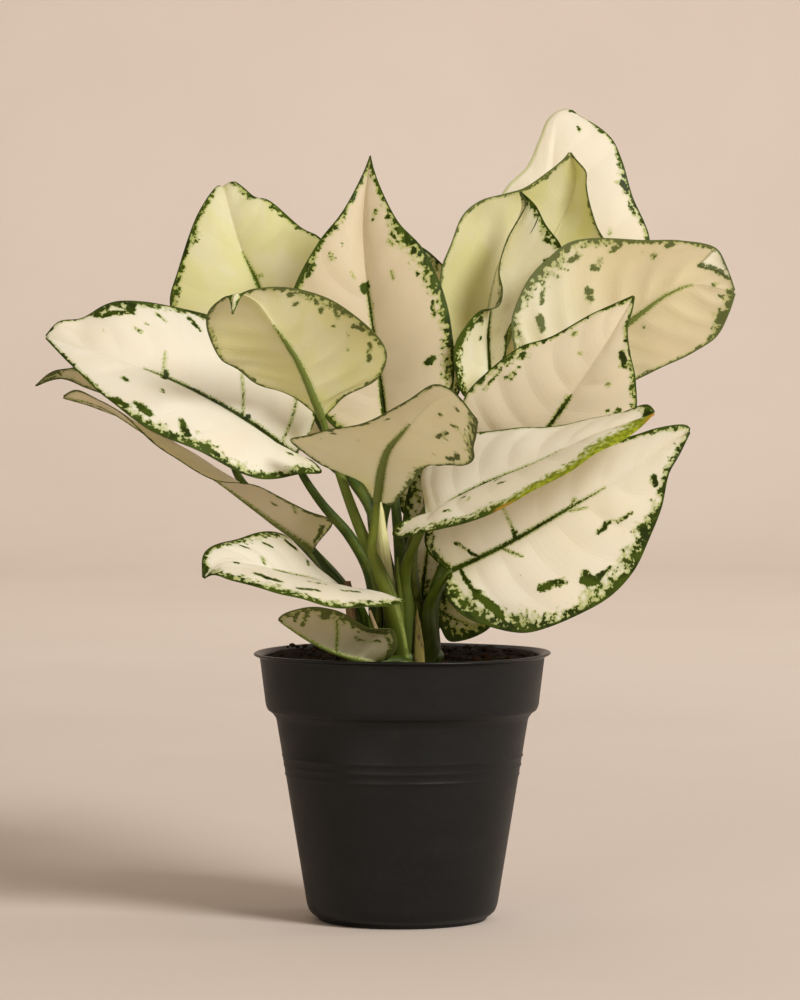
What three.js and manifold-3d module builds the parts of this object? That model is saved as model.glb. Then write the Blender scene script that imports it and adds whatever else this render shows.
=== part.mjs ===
// A potted kiwi chinese evergreen: cream, green-edged leaves on green stalks, in a black nursery pot.
// Millimetres, +Z up, +X right and +Y away from the front.
// The origin is the middle of the pot's foot, on the floor.
import * as THREE from "three";
import { mergeVertices } from "three/addons/utils/BufferGeometryUtils.js";
import Module from "manifold-3d";

const wasm = await Module();
wasm.setup();

// Driving dimensions
const LIP_RADIUS = 60; // a 12 cm pot
const POT_HEIGHT = 108.3;
const WALL = 1.2;
const FOOT_RADIUS = 34;
const GAP = 0.3; // clearance between pieces that touch
const POT_SIDES = 36;
const BLADE_THICKNESS = 0.8;
const BLADE_ROWS = 12;
const BLADE_COLUMNS = [0.35, 0.7, 1]; // shares of the way from the rib to a margin
const BLADE_END = 0.975; // the blade stops this share of the way to its tip, a little blunt
const KEEL = 0.9; // how much the rib stands out under the blade at its base
const RIB_LAG = 1.3; // the side veins run forward, so the rib is behind the margin by this power
const STALK_SIDES = 8;
const STALK_STEPS = 8;
const SOIL_LEVEL = 103.4;
const CANE_BOTTOM = 72;
const CANE_TOP = 110;

const MATERIALS = {
  pot: { color: 0x262422, roughness: 0.55, metalness: 0 },
  soil: { color: 0x33251b, roughness: 1, metalness: 0 },
  stalk: { color: 0x4f6f27, roughness: 0.5, metalness: 0 },
  blade: { color: 0xe9e0c2, roughness: 0.45, metalness: 0 },
  shaded_blade: { color: 0xc8cb86, roughness: 0.5, metalness: 0 },
  young: { color: 0xdde0a4, roughness: 0.5, metalness: 0 },
  dry: { color: 0x8a6a34, roughness: 0.8, metalness: 0 },
};

// Each blade as three smooth lines from its base to its tip: the rib and the two margins.
// The last point of the rib is the tip, where both margins end.
// left and right are as seen from the base towards the tip, on the upper face.
const BLADES = {
  far_left: {
    rib: [[-43, -12, 187], [-64, -20, 203], [-94, -26, 219], [-120, -24, 228], [-143, -16, 235]],
    left: [[-38, -15, 188.5], [-32, -18, 181], [-41, -28, 181], [-57, -40, 179], [-80, -50, 190],
      [-107, -48, 204], [-131, -30, 224]],
    right: [[-41, -8, 192], [-35, -2, 204], [-50, 2, 230], [-79, 4, 244], [-96, -2, 248],
      [-115, -8, 249], [-128, -12, 242], [-137, -15, 241]],
  },
  behind_far_left: {
    rib: [[-72, 28, 193], [-99, 22, 206], [-125, 14, 217], [-138, 10, 220], [-149, 8, 215]],
    left: [[-70, 30, 197], [-76, 40, 214], [-98, 38, 230], [-120, 26, 229], [-133, 16, 223],
      [-142, 11, 221]],
    right: [[-74, 26, 190], [-84, 14, 192], [-100, 6, 202], [-115, 6, 210], [-128, 6, 214],
      [-138, 7, 218]],
  },
  left_under: {
    rib: [[-36, 4, 149], [-52, 0, 161], [-75, -4, 178], [-101, -6, 195], [-121, -6, 207],
      [-137, -6, 211]],
    left: [[-34, 1, 152], [-28, -8, 161], [-38, -14, 165], [-57, -24, 176], [-74, -32, 178],
      [-92, -34, 188], [-105, -28, 200], [-121, -14, 210], [-131, -8, 214]],
    right: [[-37, 9, 149], [-34, 24, 154], [-48, 32, 163], [-72, 32, 178], [-98, 24, 194],
      [-121, 8, 206]],
  },
  upper_left: {
    rib: [[-52, 40, 230], [-59, 48, 255], [-67, 56, 272], [-72, 63, 288], [-75, 73, 298],
      [-76, 90, 290]],
    left: [[-56, 40, 229], [-78, 42, 226], [-92, 44, 236], [-96, 46, 250], [-93, 50, 262],
      [-86, 58, 284], [-80, 66, 295], [-77, 74, 298]],
    right: [[-48, 40, 231], [-30, 44, 232], [-24, 46, 252], [-33, 50, 275], [-42, 56, 281],
      [-56, 64, 292], [-61, 66, 293], [-67, 70, 298], [-71, 76, 300]],
  },
  front_round: {
    rib: [[-32, -22, 203], [-41, -40, 225], [-49, -56, 238], [-57, -71, 249], [-64, -83, 251],
      [-65, -87, 243]],
    left: [[-29, -21, 205], [-23, -25, 212], [-10, -30, 218], [-6, -36, 228], [-12, -44, 238],
      [-24, -54, 247], [-43, -66, 254], [-60, -79, 252]],
    right: [[-34, -21, 204], [-43, -22, 211], [-56, -31, 216], [-64, -41, 221], [-71, -52, 226],
      [-76, -68, 240], [-74, -76, 245], [-67, -82, 250]],
    shaded: true,
  },
  centre: {
    rib: [[-6, 8, 193], [-9, 10, 218], [-13, 12, 247], [-15, 14, 262], [-16, 20, 283],
      [-13, 30, 310]],
    left: [[-10, 8, 193], [-24, 4, 196], [-38, 4, 212], [-46, 6, 236], [-44, 8, 254], [-34, 10, 273],
      [-25, 16, 285], [-17, 25, 300]],
    right: [[-2, 8, 193], [12, 3, 197], [20, 3, 212], [21, 4, 228], [18, 6, 248], [9, 9, 270],
      [-1, 14, 281], [-7, 20, 292], [-11, 26, 302]],
  },
  front_centre: {
    rib: [[-10, -26, 170], [-9, -34, 178], [-6, -48, 190], [0, -62, 198], [11, -82, 210],
      [19, -94, 213], [29, -104, 203]],
    left: [[-8, -26, 169], [-5, -27, 168], [1, -34, 174], [9, -44, 183], [15, -56, 185],
      [26, -76, 186], [28, -90, 194]],
    right: [[-12, -26, 169], [-17, -24, 177], [-26, -27, 182], [-36, -34, 188], [-44, -42, 195],
      [-36, -50, 197], [-13, -70, 203], [1, -82, 210], [12, -92, 217], [17, -95, 216],
      [22, -99, 212]],
  },
  top_right: {
    rib: [[64, 52, 232], [62, 58, 264], [62, 66, 296], [64, 74, 319], [66, 80, 328], [71, 86, 331]],
    left: [[60, 52, 232], [42, 54, 238], [34, 58, 262], [37, 62, 284], [43, 66, 297], [52, 70, 306],
      [57, 74, 317], [61, 80, 326], [66, 85, 330]],
    right: [[68, 52, 230], [86, 52, 236], [99, 56, 252], [103, 62, 274], [101, 66, 283],
      [96, 70, 295], [92, 74, 309], [88, 79, 318], [80, 84, 325], [75, 86, 328]],
  },
  funnel: {
    rib: [[40, 34, 226], [52, 44, 255], [63, 51, 277], [70, 53, 292], [72, 50, 303], [69, 46, 312]],
    left: [[44, 34, 225], [66, 40, 232], [84, 46, 252], [86, 46, 270], [80, 43, 281], [77, 42, 290],
      [76, 42, 298], [76, 43, 303], [72, 45, 308]],
    right: [[36, 33, 227], [24, 28, 228], [16, 29, 243], [16, 30, 262], [20, 32, 273],
      [25, 34, 285], [32, 36, 291], [42, 40, 294], [50, 42, 296], [60, 45, 303], [67, 46, 309]],
    shaded: true,
  },
  narrow: {
    rib: [[36, 10, 214], [35, 16, 238], [38, 22, 258], [44, 27, 276], [49, 31, 288], [48, 32, 295]],
    left: [[32, 9, 214], [25, 2, 211], [21, -1, 222], [22, -2, 233], [26, 0, 239], [32, 4, 245],
      [39, 7, 247], [41, 10, 254], [40, 13, 262], [43, 18, 274], [49, 24, 285], [51, 28, 290]],
    right: [[40, 9, 214], [42, 6, 226], [44, 6, 238], [54, 8, 250], [63, 10, 262], [65, 14, 271],
      [58, 19, 281], [54, 26, 289]],
  },
  right_under: {
    rib: [[56, 4, 214], [79, 2, 232], [93, 1, 242], [107, 0, 252], [118, -1, 256], [134, -4, 253]],
    left: [[59, 3, 211], [74, 0, 208], [90, -3, 216], [103, -5, 222], [117, -7, 229],
      [126, -7, 235], [131, -6, 244]],
    right: [[53, 4, 216], [46, 3, 228], [44, 2, 241], [47, 2, 251], [52, 2, 260], [59, 2, 267],
      [67, 3, 273], [77, 4, 275], [98, 4, 274], [112, 2, 274], [126, 0, 271], [130, -3, 264]],
    shaded: true,
  },
  right_middle: {
    rib: [[41, 4, 173], [58, -8, 198], [67, -12, 211], [81, -16, 232], [93, -15, 252]],
    left: [[38, 4, 174], [24, 2, 186], [23, -4, 200], [25, -9, 211], [34, -11, 221],
      [47, -12, 231], [59, -13, 235], [75, -14, 244], [84, -14, 248]],
    right: [[44, 4, 171], [60, -2, 172], [78, -10, 182], [92, -18, 198], [93, -20, 218],
      [91, -19, 228], [90, -18, 238], [92, -16, 246]],
  },
  right_front: {
    rib: [[9, -22, 160], [23, -26, 172], [52, -32, 185], [80, -38, 198], [100, -42, 205]],
    left: [[10, -20, 163], [9, -15, 168], [8, -9, 172], [7, -5, 179], [12, -3, 188], [20, -6, 194],
      [31, -12, 197], [45, -18, 199], [59, -20, 199], [75, -25, 202], [87, -31, 205],
      [97, -38, 208]],
    right: [[11, -24, 161], [5, -31, 163], [-2, -37, 161], [-4, -41, 157], [0, -46, 156],
      [7, -50, 158], [24, -57, 162], [38, -61, 169], [48, -62, 174], [65, -62, 183],
      [74, -60, 189], [86, -54, 195], [94, -48, 200]],
  },
  lower_right: {
    rib: [[19, -14, 141], [41, -18, 152], [65, -22, 166], [82, -24, 176], [115, -24, 198]],
    left: [[17, -13, 143], [10, -13, 150], [9, -13, 156], [14, -14, 166], [28, -15, 177],
      [46, -17, 184], [66, -19, 189], [92, -24, 196], [102, -25, 199], [113, -25, 200]],
    right: [[20, -16, 139], [17, -20, 133], [22, -24, 126], [29, -27, 122], [47, -32, 118],
      [58, -34, 120], [72, -35, 126], [83, -35, 133], [92, -34, 143], [98, -33, 156],
      [103, -31, 168], [106, -29, 181], [110, -27, 188]],
  },
  lower_left: {
    rib: [[-20, -22, 131], [-32, -31, 138], [-45, -42, 142], [-60, -52, 146], [-70, -58, 147],
      [-78, -61, 141]],
    left: [[-17, -25, 131], [-12, -29, 131], [-2, -38, 131], [1, -46, 130], [-6, -52, 129],
      [-19, -60, 129], [-35, -67, 131], [-55, -72, 138], [-66, -70, 141], [-73, -66, 143]],
    right: [[-22, -19, 131], [-25, -14, 134], [-31, -10, 139], [-41, -12, 148], [-47, -20, 156],
      [-56, -29, 157], [-67, -40, 155], [-76, -51, 152], [-78, -56, 149]],
  },
  at_rim: {
    rib: [[-10, -28, 105.5], [-23, -35, 109], [-34, -41, 114], [-42, -45, 119], [-49, -48, 124]],
    left: [[-9, -30, 106.5], [-5, -33, 108], [-2, -37, 113], [-4, -40, 120], [-13, -45, 121],
      [-20, -49, 125], [-32, -54, 130], [-43, -54, 128], [-47, -51, 126]],
    right: [[-12, -26, 106], [-16, -22, 108], [-20, -20, 114], [-32, -26, 118], [-42, -36, 121]],
  },
  small_right: {
    rib: [[13, 12, 125], [25, 13, 119], [38, 14, 119]],
    left: [[13, 13, 127], [15, 15, 131], [25, 17, 131], [34, 16, 127]],
    right: [[13, 11, 123], [15, 9, 118], [19, 8, 112], [28, 8, 113], [34, 10, 116]],
  },
  behind_stalks: {
    rib: [[7, 16, 125], [10, 22, 146], [13, 31, 166], [16, 44, 184], [20, 62, 196]],
    left: [[6, 16, 126], [2, 17, 138], [0, 24, 158], [4, 34, 178], [12, 50, 192]],
    right: [[8, 16, 126], [18, 18, 138], [24, 26, 156], [30, 36, 174], [28, 50, 190]],
  },
  back_centre: {
    rib: [[6, 30, 196], [8, 44, 222], [6, 56, 250], [1, 64, 275]],
    left: [[2, 30, 196], [-8, 38, 205], [-20, 48, 230], [-18, 56, 252], [-8, 61, 268]],
    right: [[10, 30, 196], [20, 40, 205], [30, 50, 235], [26, 58, 255], [17, 62, 265],
      [9, 63, 272]],
  },
  back_right: {
    rib: [[10, 36, 150], [22, 62, 180], [32, 92, 205], [38, 118, 205]],
    left: [[8, 38, 152], [-4, 56, 170], [2, 84, 192], [20, 108, 205]],
    right: [[13, 36, 150], [34, 50, 164], [54, 72, 186], [52, 100, 202]],
  },
  back_left: {
    rib: [[-14, 34, 170], [-22, 52, 200], [-30, 78, 225], [-34, 104, 232]],
    left: [[-17, 34, 170], [-38, 40, 188], [-56, 58, 212], [-52, 86, 230]],
    right: [[-11, 34, 170], [-2, 42, 184], [-4, 62, 212], [-16, 90, 232]],
  },
};

// Each shoot: the middle and radius of its cane, and the way of every stalk from the cane to its blade.
const SHOOTS = {
  left: {
    cane: { at: [-12, -3], radius: 6 },
    stalks: {
      far_left: [[-12, -3, 104], [-10.5, -4, 120], [-13, -6, 140], [-19, -8, 156], [-32, -10, 169],
        [-40, -12, 180]],
      left_under: [[-14, -1, 104], [-18, 2, 121], [-24, 3, 133], [-31, 4, 142]],
      behind_far_left: [[-13, 1, 104], [-17, 7, 120], [-24, 14, 133], [-38, 26, 148],
        [-54, 38, 163], [-67, 37, 177]],
      lower_left: [[-13, -6, 104], [-14, -12, 116], [-16.5, -17.5, 126]],
    },
  },
  centre: {
    cane: { at: [1, -4], radius: 6 },
    stalks: {
      centre: [[1, -2, 104], [0, 2, 135], [-3, 6, 170]],
      upper_left: [[-1, 0, 104], [-3, 6, 125], [-7, 12, 145], [-13, 16, 166], [-21, 20, 178],
        [-38, 32, 208]],
      front_round: [[0, -6, 104], [-2, -10, 118], [-5, -14, 132], [-12, -18, 148],
        [-17, -20, 159], [-25, -22, 181]],
      front_centre: [[-1, -8, 104], [-3, -14, 119], [-7, -20, 134], [-12, -22, 150],
        [-11, -24, 161]],
      at_rim: [[1, -8, 104], [-3, -18, 105.6]],
      right_front: [[3, -5, 104], [2, -7, 125], [1, -9, 136], [2, -13, 145], [4, -17, 150]],
    },
  },
  right: {
    cane: { at: [11, 4], radius: 6 },
    stalks: {
      lower_right: [[10, 0, 104], [10.5, -4, 118], [11, -6, 128], [15, -11, 136]],
      right_middle: [[12, 2, 104], [12, 1, 126], [17, 2, 142], [28, 4, 158]],
      right_under: [[13, 5, 104], [12, 6, 124], [17, 7, 142], [28, 9, 160], [43, 10, 188]],
      narrow: [[9, 6, 104], [6, 9, 122], [4, 12, 150], [12, 16, 168], [24, 14, 190]],
      small_right: [[12, 7, 104], [9, 9.5, 114], [8, 11.4, 121]],
    },
  },
  back: {
    cane: { at: [1, 18], radius: 7 },
    stalks: {
      behind_stalks: [[4, 15, 104], [6, 15, 114]],
      back_centre: [[-2, 17, 104], [-6, 18, 130], [-8, 24, 160]],
      back_left: [[-3, 19, 104], [-8, 24, 130], [-12, 30, 155]],
      back_right: [[1, 21, 104], [5, 28, 124], [8, 33, 140]],
      funnel: [[5, 18, 104], [16, 24, 124], [28, 24, 150], [36, 30, 196]],
      top_right: [[4, 21, 104], [12, 30, 124], [20, 35, 145], [36, 43, 175], [52, 48, 206]],
    },
  },
};
const STALK_RADII = [2.5, 1.9, 1.5, 1.1];
const STALK_SEAT = 1.2; // how far a stalk ends before the middle of its blade's base

// Small upright pieces between the stalks: their way, and their radius at each end.
const YOUNG_LEAF = {
  way: [[-3, -4, 111], [-5.5, -6, 130], [-8, -8, 152], [-9, -8, 171]],
  radii: [1.6, 3.2, 0.6],
};
const SPIKE = { way: [[0, -8, 104], [-1, -10, 128], [-2, -11, 147]], radii: [1.5, 1.4, 0.4] };
const BROWN_STUB = { way: [[-20, -9, 96], [-20, -7, 116], [-22, -6, 137]], radii: [1.9, 1.8, 1.7] };
const TAN_STUB = { way: [[-6, -13, 96], [-8, -15.5, 110], [-13, -20, 126]], radii: [1.1, 1, 0.9] };
const DRY_SHEATH = { way: [[7, -9.5, 96], [6.5, -9.5, 112], [6, -9.5, 126]], radii: [1.2, 1.3, 0.5] };

// The outside of the pot from the foot up: radius, height.
const POT_OUTSIDE = [
  [FOOT_RADIUS, 0], [FOOT_RADIUS, 1.2], [35.6, 1.9], [37.6, 3.6], [38.6, 6.5], [46.7, 56.5],
];
const POT_RINGS = [59, 62.8, 66.6]; // heights of three fine raised rings
const RING_RISE = 0.4;
const POT_COLLAR = [[50.9, 81.6], [52.6, 83.9], [54.4, 85], [55.1, 87], [57.4, 106.4]];
const POT_LIP = [[59.4, 106.9], [LIP_RADIUS, 107.6], [58.9, POT_HEIGHT]];
const POT_FLOOR = 2.8;
const DRAIN_HOLES = 8;
const DRAIN_RADIUS = 3.4;
const DRAIN_CIRCLE = 24;

const vector = (p) => new THREE.Vector3(...p);
const smoothLine = (points) => new THREE.CatmullRomCurve3(points.map(vector), false, "centripetal");

// A closed triangle mesh from its points and triangles.
function solidGeometry(points, triangles) {
  const geometry = new THREE.BufferGeometry();
  geometry.setAttribute("position", new THREE.Float32BufferAttribute(points.flat(), 3));
  geometry.setIndex(triangles.flat());
  return geometry;
}

// A geometry as a manifold solid, turned right side out if it is inside out.
function toManifold(geometry) {
  const bare = geometry.clone();
  bare.deleteAttribute("normal");
  bare.deleteAttribute("uv");
  const merged = mergeVertices(bare, 1e-3);
  const triVerts = new Uint32Array(merged.index.array);
  const make = () =>
    new wasm.Manifold(
      new wasm.Mesh({ numProp: 3, vertProperties: merged.attributes.position.array, triVerts }),
    );
  const made = make();
  if (made.volume() >= 0) return made;
  for (let i = 0; i < triVerts.length; i += 3)
    [triVerts[i + 1], triVerts[i + 2]] = [triVerts[i + 2], triVerts[i + 1]];
  return make();
}

function toGeometry(manifold) {
  const mesh = manifold.getMesh();
  const geometry = new THREE.BufferGeometry();
  const positions = new Float32Array(mesh.numVert * 3);
  for (let i = 0; i < mesh.numVert; i += 1)
    positions.set(mesh.vertProperties.subarray(i * mesh.numProp, i * mesh.numProp + 3), i * 3);
  geometry.setAttribute("position", new THREE.BufferAttribute(positions, 3));
  geometry.setIndex(new THREE.BufferAttribute(mesh.triVerts, 1));
  geometry.computeVertexNormals();
  return geometry;
}

// A round rod along a smooth line, whose radius runs through radii from one end to the other.
function rod(way, radii, steps, sides) {
  const line = smoothLine(way);
  const frames = line.computeFrenetFrames(steps, false);
  const points = [];
  for (let i = 0; i <= steps; i += 1) {
    const share = (i / steps) * (radii.length - 1);
    const k = Math.min(Math.floor(share), radii.length - 2);
    const radius = THREE.MathUtils.lerp(radii[k], radii[k + 1], share - k);
    const middle = line.getPointAt(i / steps);
    for (let j = 0; j < sides; j += 1) {
      const angle = (2 * Math.PI * j) / sides;
      const p = middle
        .clone()
        .addScaledVector(frames.normals[i], radius * Math.cos(angle))
        .addScaledVector(frames.binormals[i], radius * Math.sin(angle));
      points.push(p.toArray());
    }
  }
  const triangles = [];
  for (let i = 0; i < steps; i += 1)
    for (let j = 0; j < sides; j += 1) {
      const a = i * sides + j;
      const b = i * sides + ((j + 1) % sides);
      triangles.push([a, b, b + sides], [a, b + sides, a + sides]);
    }
  const last = steps * sides;
  for (let j = 1; j < sides - 1; j += 1)
    triangles.push([0, j + 1, j], [last, last + j, last + j + 1]);
  return toManifold(solidGeometry(points, triangles));
}

// One leaf blade: a thin sheet over a grid of rows from the base to the tip, and columns from the
// left margin over the rib to the right margin. Both faces are split into the same triangles.
function bladeGeometry({ rib, left, right }) {
  const tip = rib[rib.length - 1];
  const ribLine = smoothLine(rib);
  const sides = [smoothLine([...left, tip]), smoothLine([...right, tip])];
  const middle = [];
  for (let i = 0; i <= BLADE_ROWS; i += 1) {
    const t = (BLADE_END * i) / BLADE_ROWS;
    const onRib = ribLine.getPointAt(t ** RIB_LAG);
    const [toLeft, toRight] = sides.map((line) =>
      BLADE_COLUMNS.map((s) => onRib.clone().lerp(line.getPointAt(t), s)),
    );
    middle.push([...toLeft.reverse(), onRib, ...toRight]);
  }
  const rows = middle.length;
  const columns = middle[0].length;
  const at = (i, j) => i * columns + j;
  const sheet = [];
  for (let i = 0; i < rows - 1; i += 1)
    for (let j = 0; j < columns - 1; j += 1)
      sheet.push([at(i, j), at(i, j + 1), at(i + 1, j + 1)], [at(i, j), at(i + 1, j + 1), at(i + 1, j)]);
  const flat = solidGeometry(middle.flat().map((p) => p.toArray()), sheet);
  flat.computeVertexNormals();
  const normals = flat.getAttribute("normal");
  const upper = [];
  const lower = [];
  middle.flat().forEach((p, n) => {
    const normal = new THREE.Vector3().fromBufferAttribute(normals, n);
    const onRib = n % columns === BLADE_COLUMNS.length;
    const keel = onRib ? KEEL * (1 - Math.floor(n / columns) / rows) : 0;
    upper.push(p.clone().addScaledVector(normal, BLADE_THICKNESS / 2).toArray());
    lower.push(p.clone().addScaledVector(normal, -BLADE_THICKNESS / 2 - keel).toArray());
  });
  const under = upper.length;
  const triangles = sheet.flatMap(([a, b, c]) => [[a, b, c], [under + a, under + c, under + b]]);
  const rim = [];
  for (let j = 0; j < columns - 1; j += 1) rim.push([at(0, j), at(0, j + 1)]);
  for (let i = 0; i < rows - 1; i += 1) rim.push([at(i, columns - 1), at(i + 1, columns - 1)]);
  for (let j = columns - 1; j > 0; j -= 1) rim.push([at(rows - 1, j), at(rows - 1, j - 1)]);
  for (let i = rows - 1; i > 0; i -= 1) rim.push([at(i, 0), at(i - 1, 0)]);
  rim.forEach(([a, b]) => triangles.push([b, a, under + a], [b, under + a, under + b]));
  return toGeometry(toManifold(solidGeometry([...upper, ...lower], triangles)));
}

// The point where a stalk ends, just short of its blade's base.
function stalkEnd(rib) {
  const line = smoothLine(rib);
  return line.getPointAt(0).addScaledVector(line.getTangentAt(0), -STALK_SEAT).toArray();
}

// A rod that is wider by grow all round, and begins that much earlier.
function grownRod(way, radii, steps, sides, grow) {
  const [x, y, z] = way[0];
  return rod([[x, y, z - grow], ...way.slice(1)], radii.map((r) => r + grow), steps, sides);
}

function shootManifold({ cane, stalks }, grow = 0) {
  const [x, y] = cane.at;
  const caneWay = [[x, y, CANE_BOTTOM], [x, y, CANE_TOP]];
  let shoot = grownRod(caneWay, [0.8 * cane.radius, cane.radius], 1, 12, grow);
  for (const [name, way] of Object.entries(stalks)) {
    const whole = [...way, stalkEnd(BLADES[name].rib)];
    shoot = shoot.add(grownRod(whole, STALK_RADII, STALK_STEPS, STALK_SIDES, grow));
  }
  return shoot;
}

function potManifold() {
  const [top, bottom] = [POT_COLLAR[0], POT_OUTSIDE[POT_OUTSIDE.length - 1]];
  const slope = (top[0] - bottom[0]) / (top[1] - bottom[1]);
  const rings = POT_RINGS.flatMap((z) => {
    const wall = bottom[0] + slope * (z - bottom[1]);
    return [[wall, z - 1], [wall + RING_RISE, z], [wall, z + 1]];
  });
  const inside = [
    [57.4 - WALL, 106.6], [55.1 - WALL, 87], [52.6 - WALL, 84.6], [50.9 - WALL, 82],
    [38.6 - WALL, 6.5], [36.4, POT_FLOOR], [0, POT_FLOOR],
  ];
  const profile = [[0, 0], ...POT_OUTSIDE, ...rings, ...POT_COLLAR, ...POT_LIP, ...inside];
  const lathe = new THREE.LatheGeometry(profile.map(([r, z]) => new THREE.Vector2(r, z)), POT_SIDES);
  lathe.rotateX(Math.PI / 2);
  let pot = toManifold(lathe);
  for (let i = 0; i < DRAIN_HOLES; i += 1) {
    const angle = (2 * Math.PI * i) / DRAIN_HOLES;
    const hole = new THREE.CylinderGeometry(DRAIN_RADIUS, DRAIN_RADIUS, 12, 10);
    hole.rotateX(Math.PI / 2);
    hole.translate(DRAIN_CIRCLE * Math.cos(angle), DRAIN_CIRCLE * Math.sin(angle), 2);
    pot = pot.subtract(toManifold(hole));
  }
  return pot;
}

// The height of the soil: level in front, heaped a little towards the back, and uneven.
function soilHeight(x, y) {
  const heap = 3.4 * THREE.MathUtils.smoothstep(y, -12, 28);
  return SOIL_LEVEL + heap + 0.5 * Math.sin(x / 5 + 1) * Math.cos(y / 6) + 0.3 * Math.sin(x / 3 - y / 4);
}

function soilManifold(holes) {
  const wallInside = (z) => 38.6 - WALL + ((50.9 - 38.6) * (z - 6.5)) / (82 - 6.5) - GAP;
  const side = [
    [35.8, POT_FLOOR + GAP], [wallInside(6.9), 6.9], [wallInside(82.3), 82.3],
    [52.6 - WALL - GAP, 84.9], [55.1 - WALL - GAP, 87.3],
  ];
  const topRadii = [55.3, 46, 37, 28, 19, 10];
  const points = [[0, 0, side[0][1]]];
  const rings = [...side, ...topRadii.map((r) => [r, null])];
  for (const [r, z] of rings)
    for (let j = 0; j < POT_SIDES; j += 1) {
      const angle = (2 * Math.PI * j) / POT_SIDES;
      const [x, y] = [r * Math.cos(angle), r * Math.sin(angle)];
      points.push([x, y, z ?? soilHeight(x, y)]);
    }
  points.push([0, 0, soilHeight(0, 0)]);
  const triangles = [];
  const at = (ring, j) => 1 + ring * POT_SIDES + (j % POT_SIDES);
  for (let j = 0; j < POT_SIDES; j += 1) {
    triangles.push([0, at(0, j + 1), at(0, j)]);
    for (let ring = 0; ring < rings.length - 1; ring += 1)
      triangles.push(
        [at(ring, j), at(ring, j + 1), at(ring + 1, j + 1)],
        [at(ring, j), at(ring + 1, j + 1), at(ring + 1, j)],
      );
    triangles.push([at(rings.length - 1, j), at(rings.length - 1, j + 1), points.length - 1]);
  }
  let soil = toManifold(solidGeometry(points, triangles));
  for (const crumb of barkCrumbs()) soil = soil.add(crumb);
  for (const hole of holes) soil = soil.subtract(hole);
  return soil;
}

// Bark crumbs half sunk in the soil, in a ring that stays clear of the stalks and the low leaf.
function barkCrumbs() {
  let seed = 7;
  const random = () => {
    seed = (seed * 16807) % 2147483647;
    return seed / 2147483647;
  };
  const crumbs = [];
  for (let i = 0; i < 16; i += 1) {
    const angle = Math.PI * (-0.1 + 1.25 * random());
    const r = 33 + 17 * random();
    const [x, y] = [r * Math.cos(angle), r * Math.sin(angle)];
    const chunk = new THREE.IcosahedronGeometry(1, 0);
    chunk.scale(1.6 + 2.2 * random(), 1.2 + 1.2 * random(), 0.8 + 0.9 * random());
    chunk.rotateZ(Math.PI * random());
    chunk.rotateX(0.5 * (random() - 0.5));
    chunk.translate(x, y, soilHeight(x, y) + 0.2);
    crumbs.push(toManifold(chunk));
  }
  return crumbs;
}

const plant = new THREE.Group();

function addPiece(name, geometry, look) {
  const mesh = new THREE.Mesh(geometry, new THREE.MeshStandardMaterial(MATERIALS[look]));
  mesh.name = name;
  plant.add(mesh);
}

const standing = { brown_stub: BROWN_STUB, tan_stub: TAN_STUB, dry_sheath: DRY_SHEATH };
const holes = [
  ...Object.values(SHOOTS).map((shoot) => shootManifold(shoot, GAP)),
  ...Object.values(standing).map(({ way, radii }) => grownRod(way, radii, 5, 8, GAP)),
];

addPiece("pot", toGeometry(potManifold()), "pot");
addPiece("soil", toGeometry(soilManifold(holes)), "soil");
for (const [name, shoot] of Object.entries(SHOOTS)) {
  let whole = shootManifold(shoot);
  if (name === "centre") whole = whole.add(rod(SPIKE.way, SPIKE.radii, 6, 6));
  addPiece(`shoot_${name}`, toGeometry(whole), "stalk");
}
for (const [name, blade] of Object.entries(BLADES))
  addPiece(`blade_${name}`, bladeGeometry(blade), blade.shaded ? "shaded_blade" : "blade");
addPiece("young_leaf", toGeometry(rod(YOUNG_LEAF.way, YOUNG_LEAF.radii, 10, 10)), "young");
for (const [name, { way, radii }] of Object.entries(standing))
  addPiece(name, toGeometry(rod(way, radii, 5, 8)), "dry");

export default plant;
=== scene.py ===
"""The looks of a potted kiwi chinese evergreen: cream leaves with mottled green margins, in a black pot.

Metres in Blender. The points below are in millimetres, in the part's own frame:
+Z up, +X to the viewer's right, +Y away from the viewer, the origin in the middle of the pot's foot.
"""
import math
from types import SimpleNamespace

import bmesh
import bpy
import numpy as np
from mathutils import Matrix, Vector


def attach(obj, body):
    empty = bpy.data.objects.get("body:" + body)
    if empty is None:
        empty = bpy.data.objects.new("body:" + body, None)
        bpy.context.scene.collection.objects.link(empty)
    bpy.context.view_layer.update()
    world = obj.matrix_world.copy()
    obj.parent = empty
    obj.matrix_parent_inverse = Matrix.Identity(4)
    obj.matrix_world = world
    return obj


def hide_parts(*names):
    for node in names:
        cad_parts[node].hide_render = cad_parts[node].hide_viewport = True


MM = 0.001

# Random draws: one seed for each kind, and how far apart the noise of two pieces lies in mm
SEED = 11
SWELL_SEED, LUMP_SEED, CRUMB_SEED, HEAP_SEED = SEED + 40, SEED + 80, SEED + 100, SEED + 600
LEAF_STEP, TUBE_STEP = 31.7, 17.3

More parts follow.
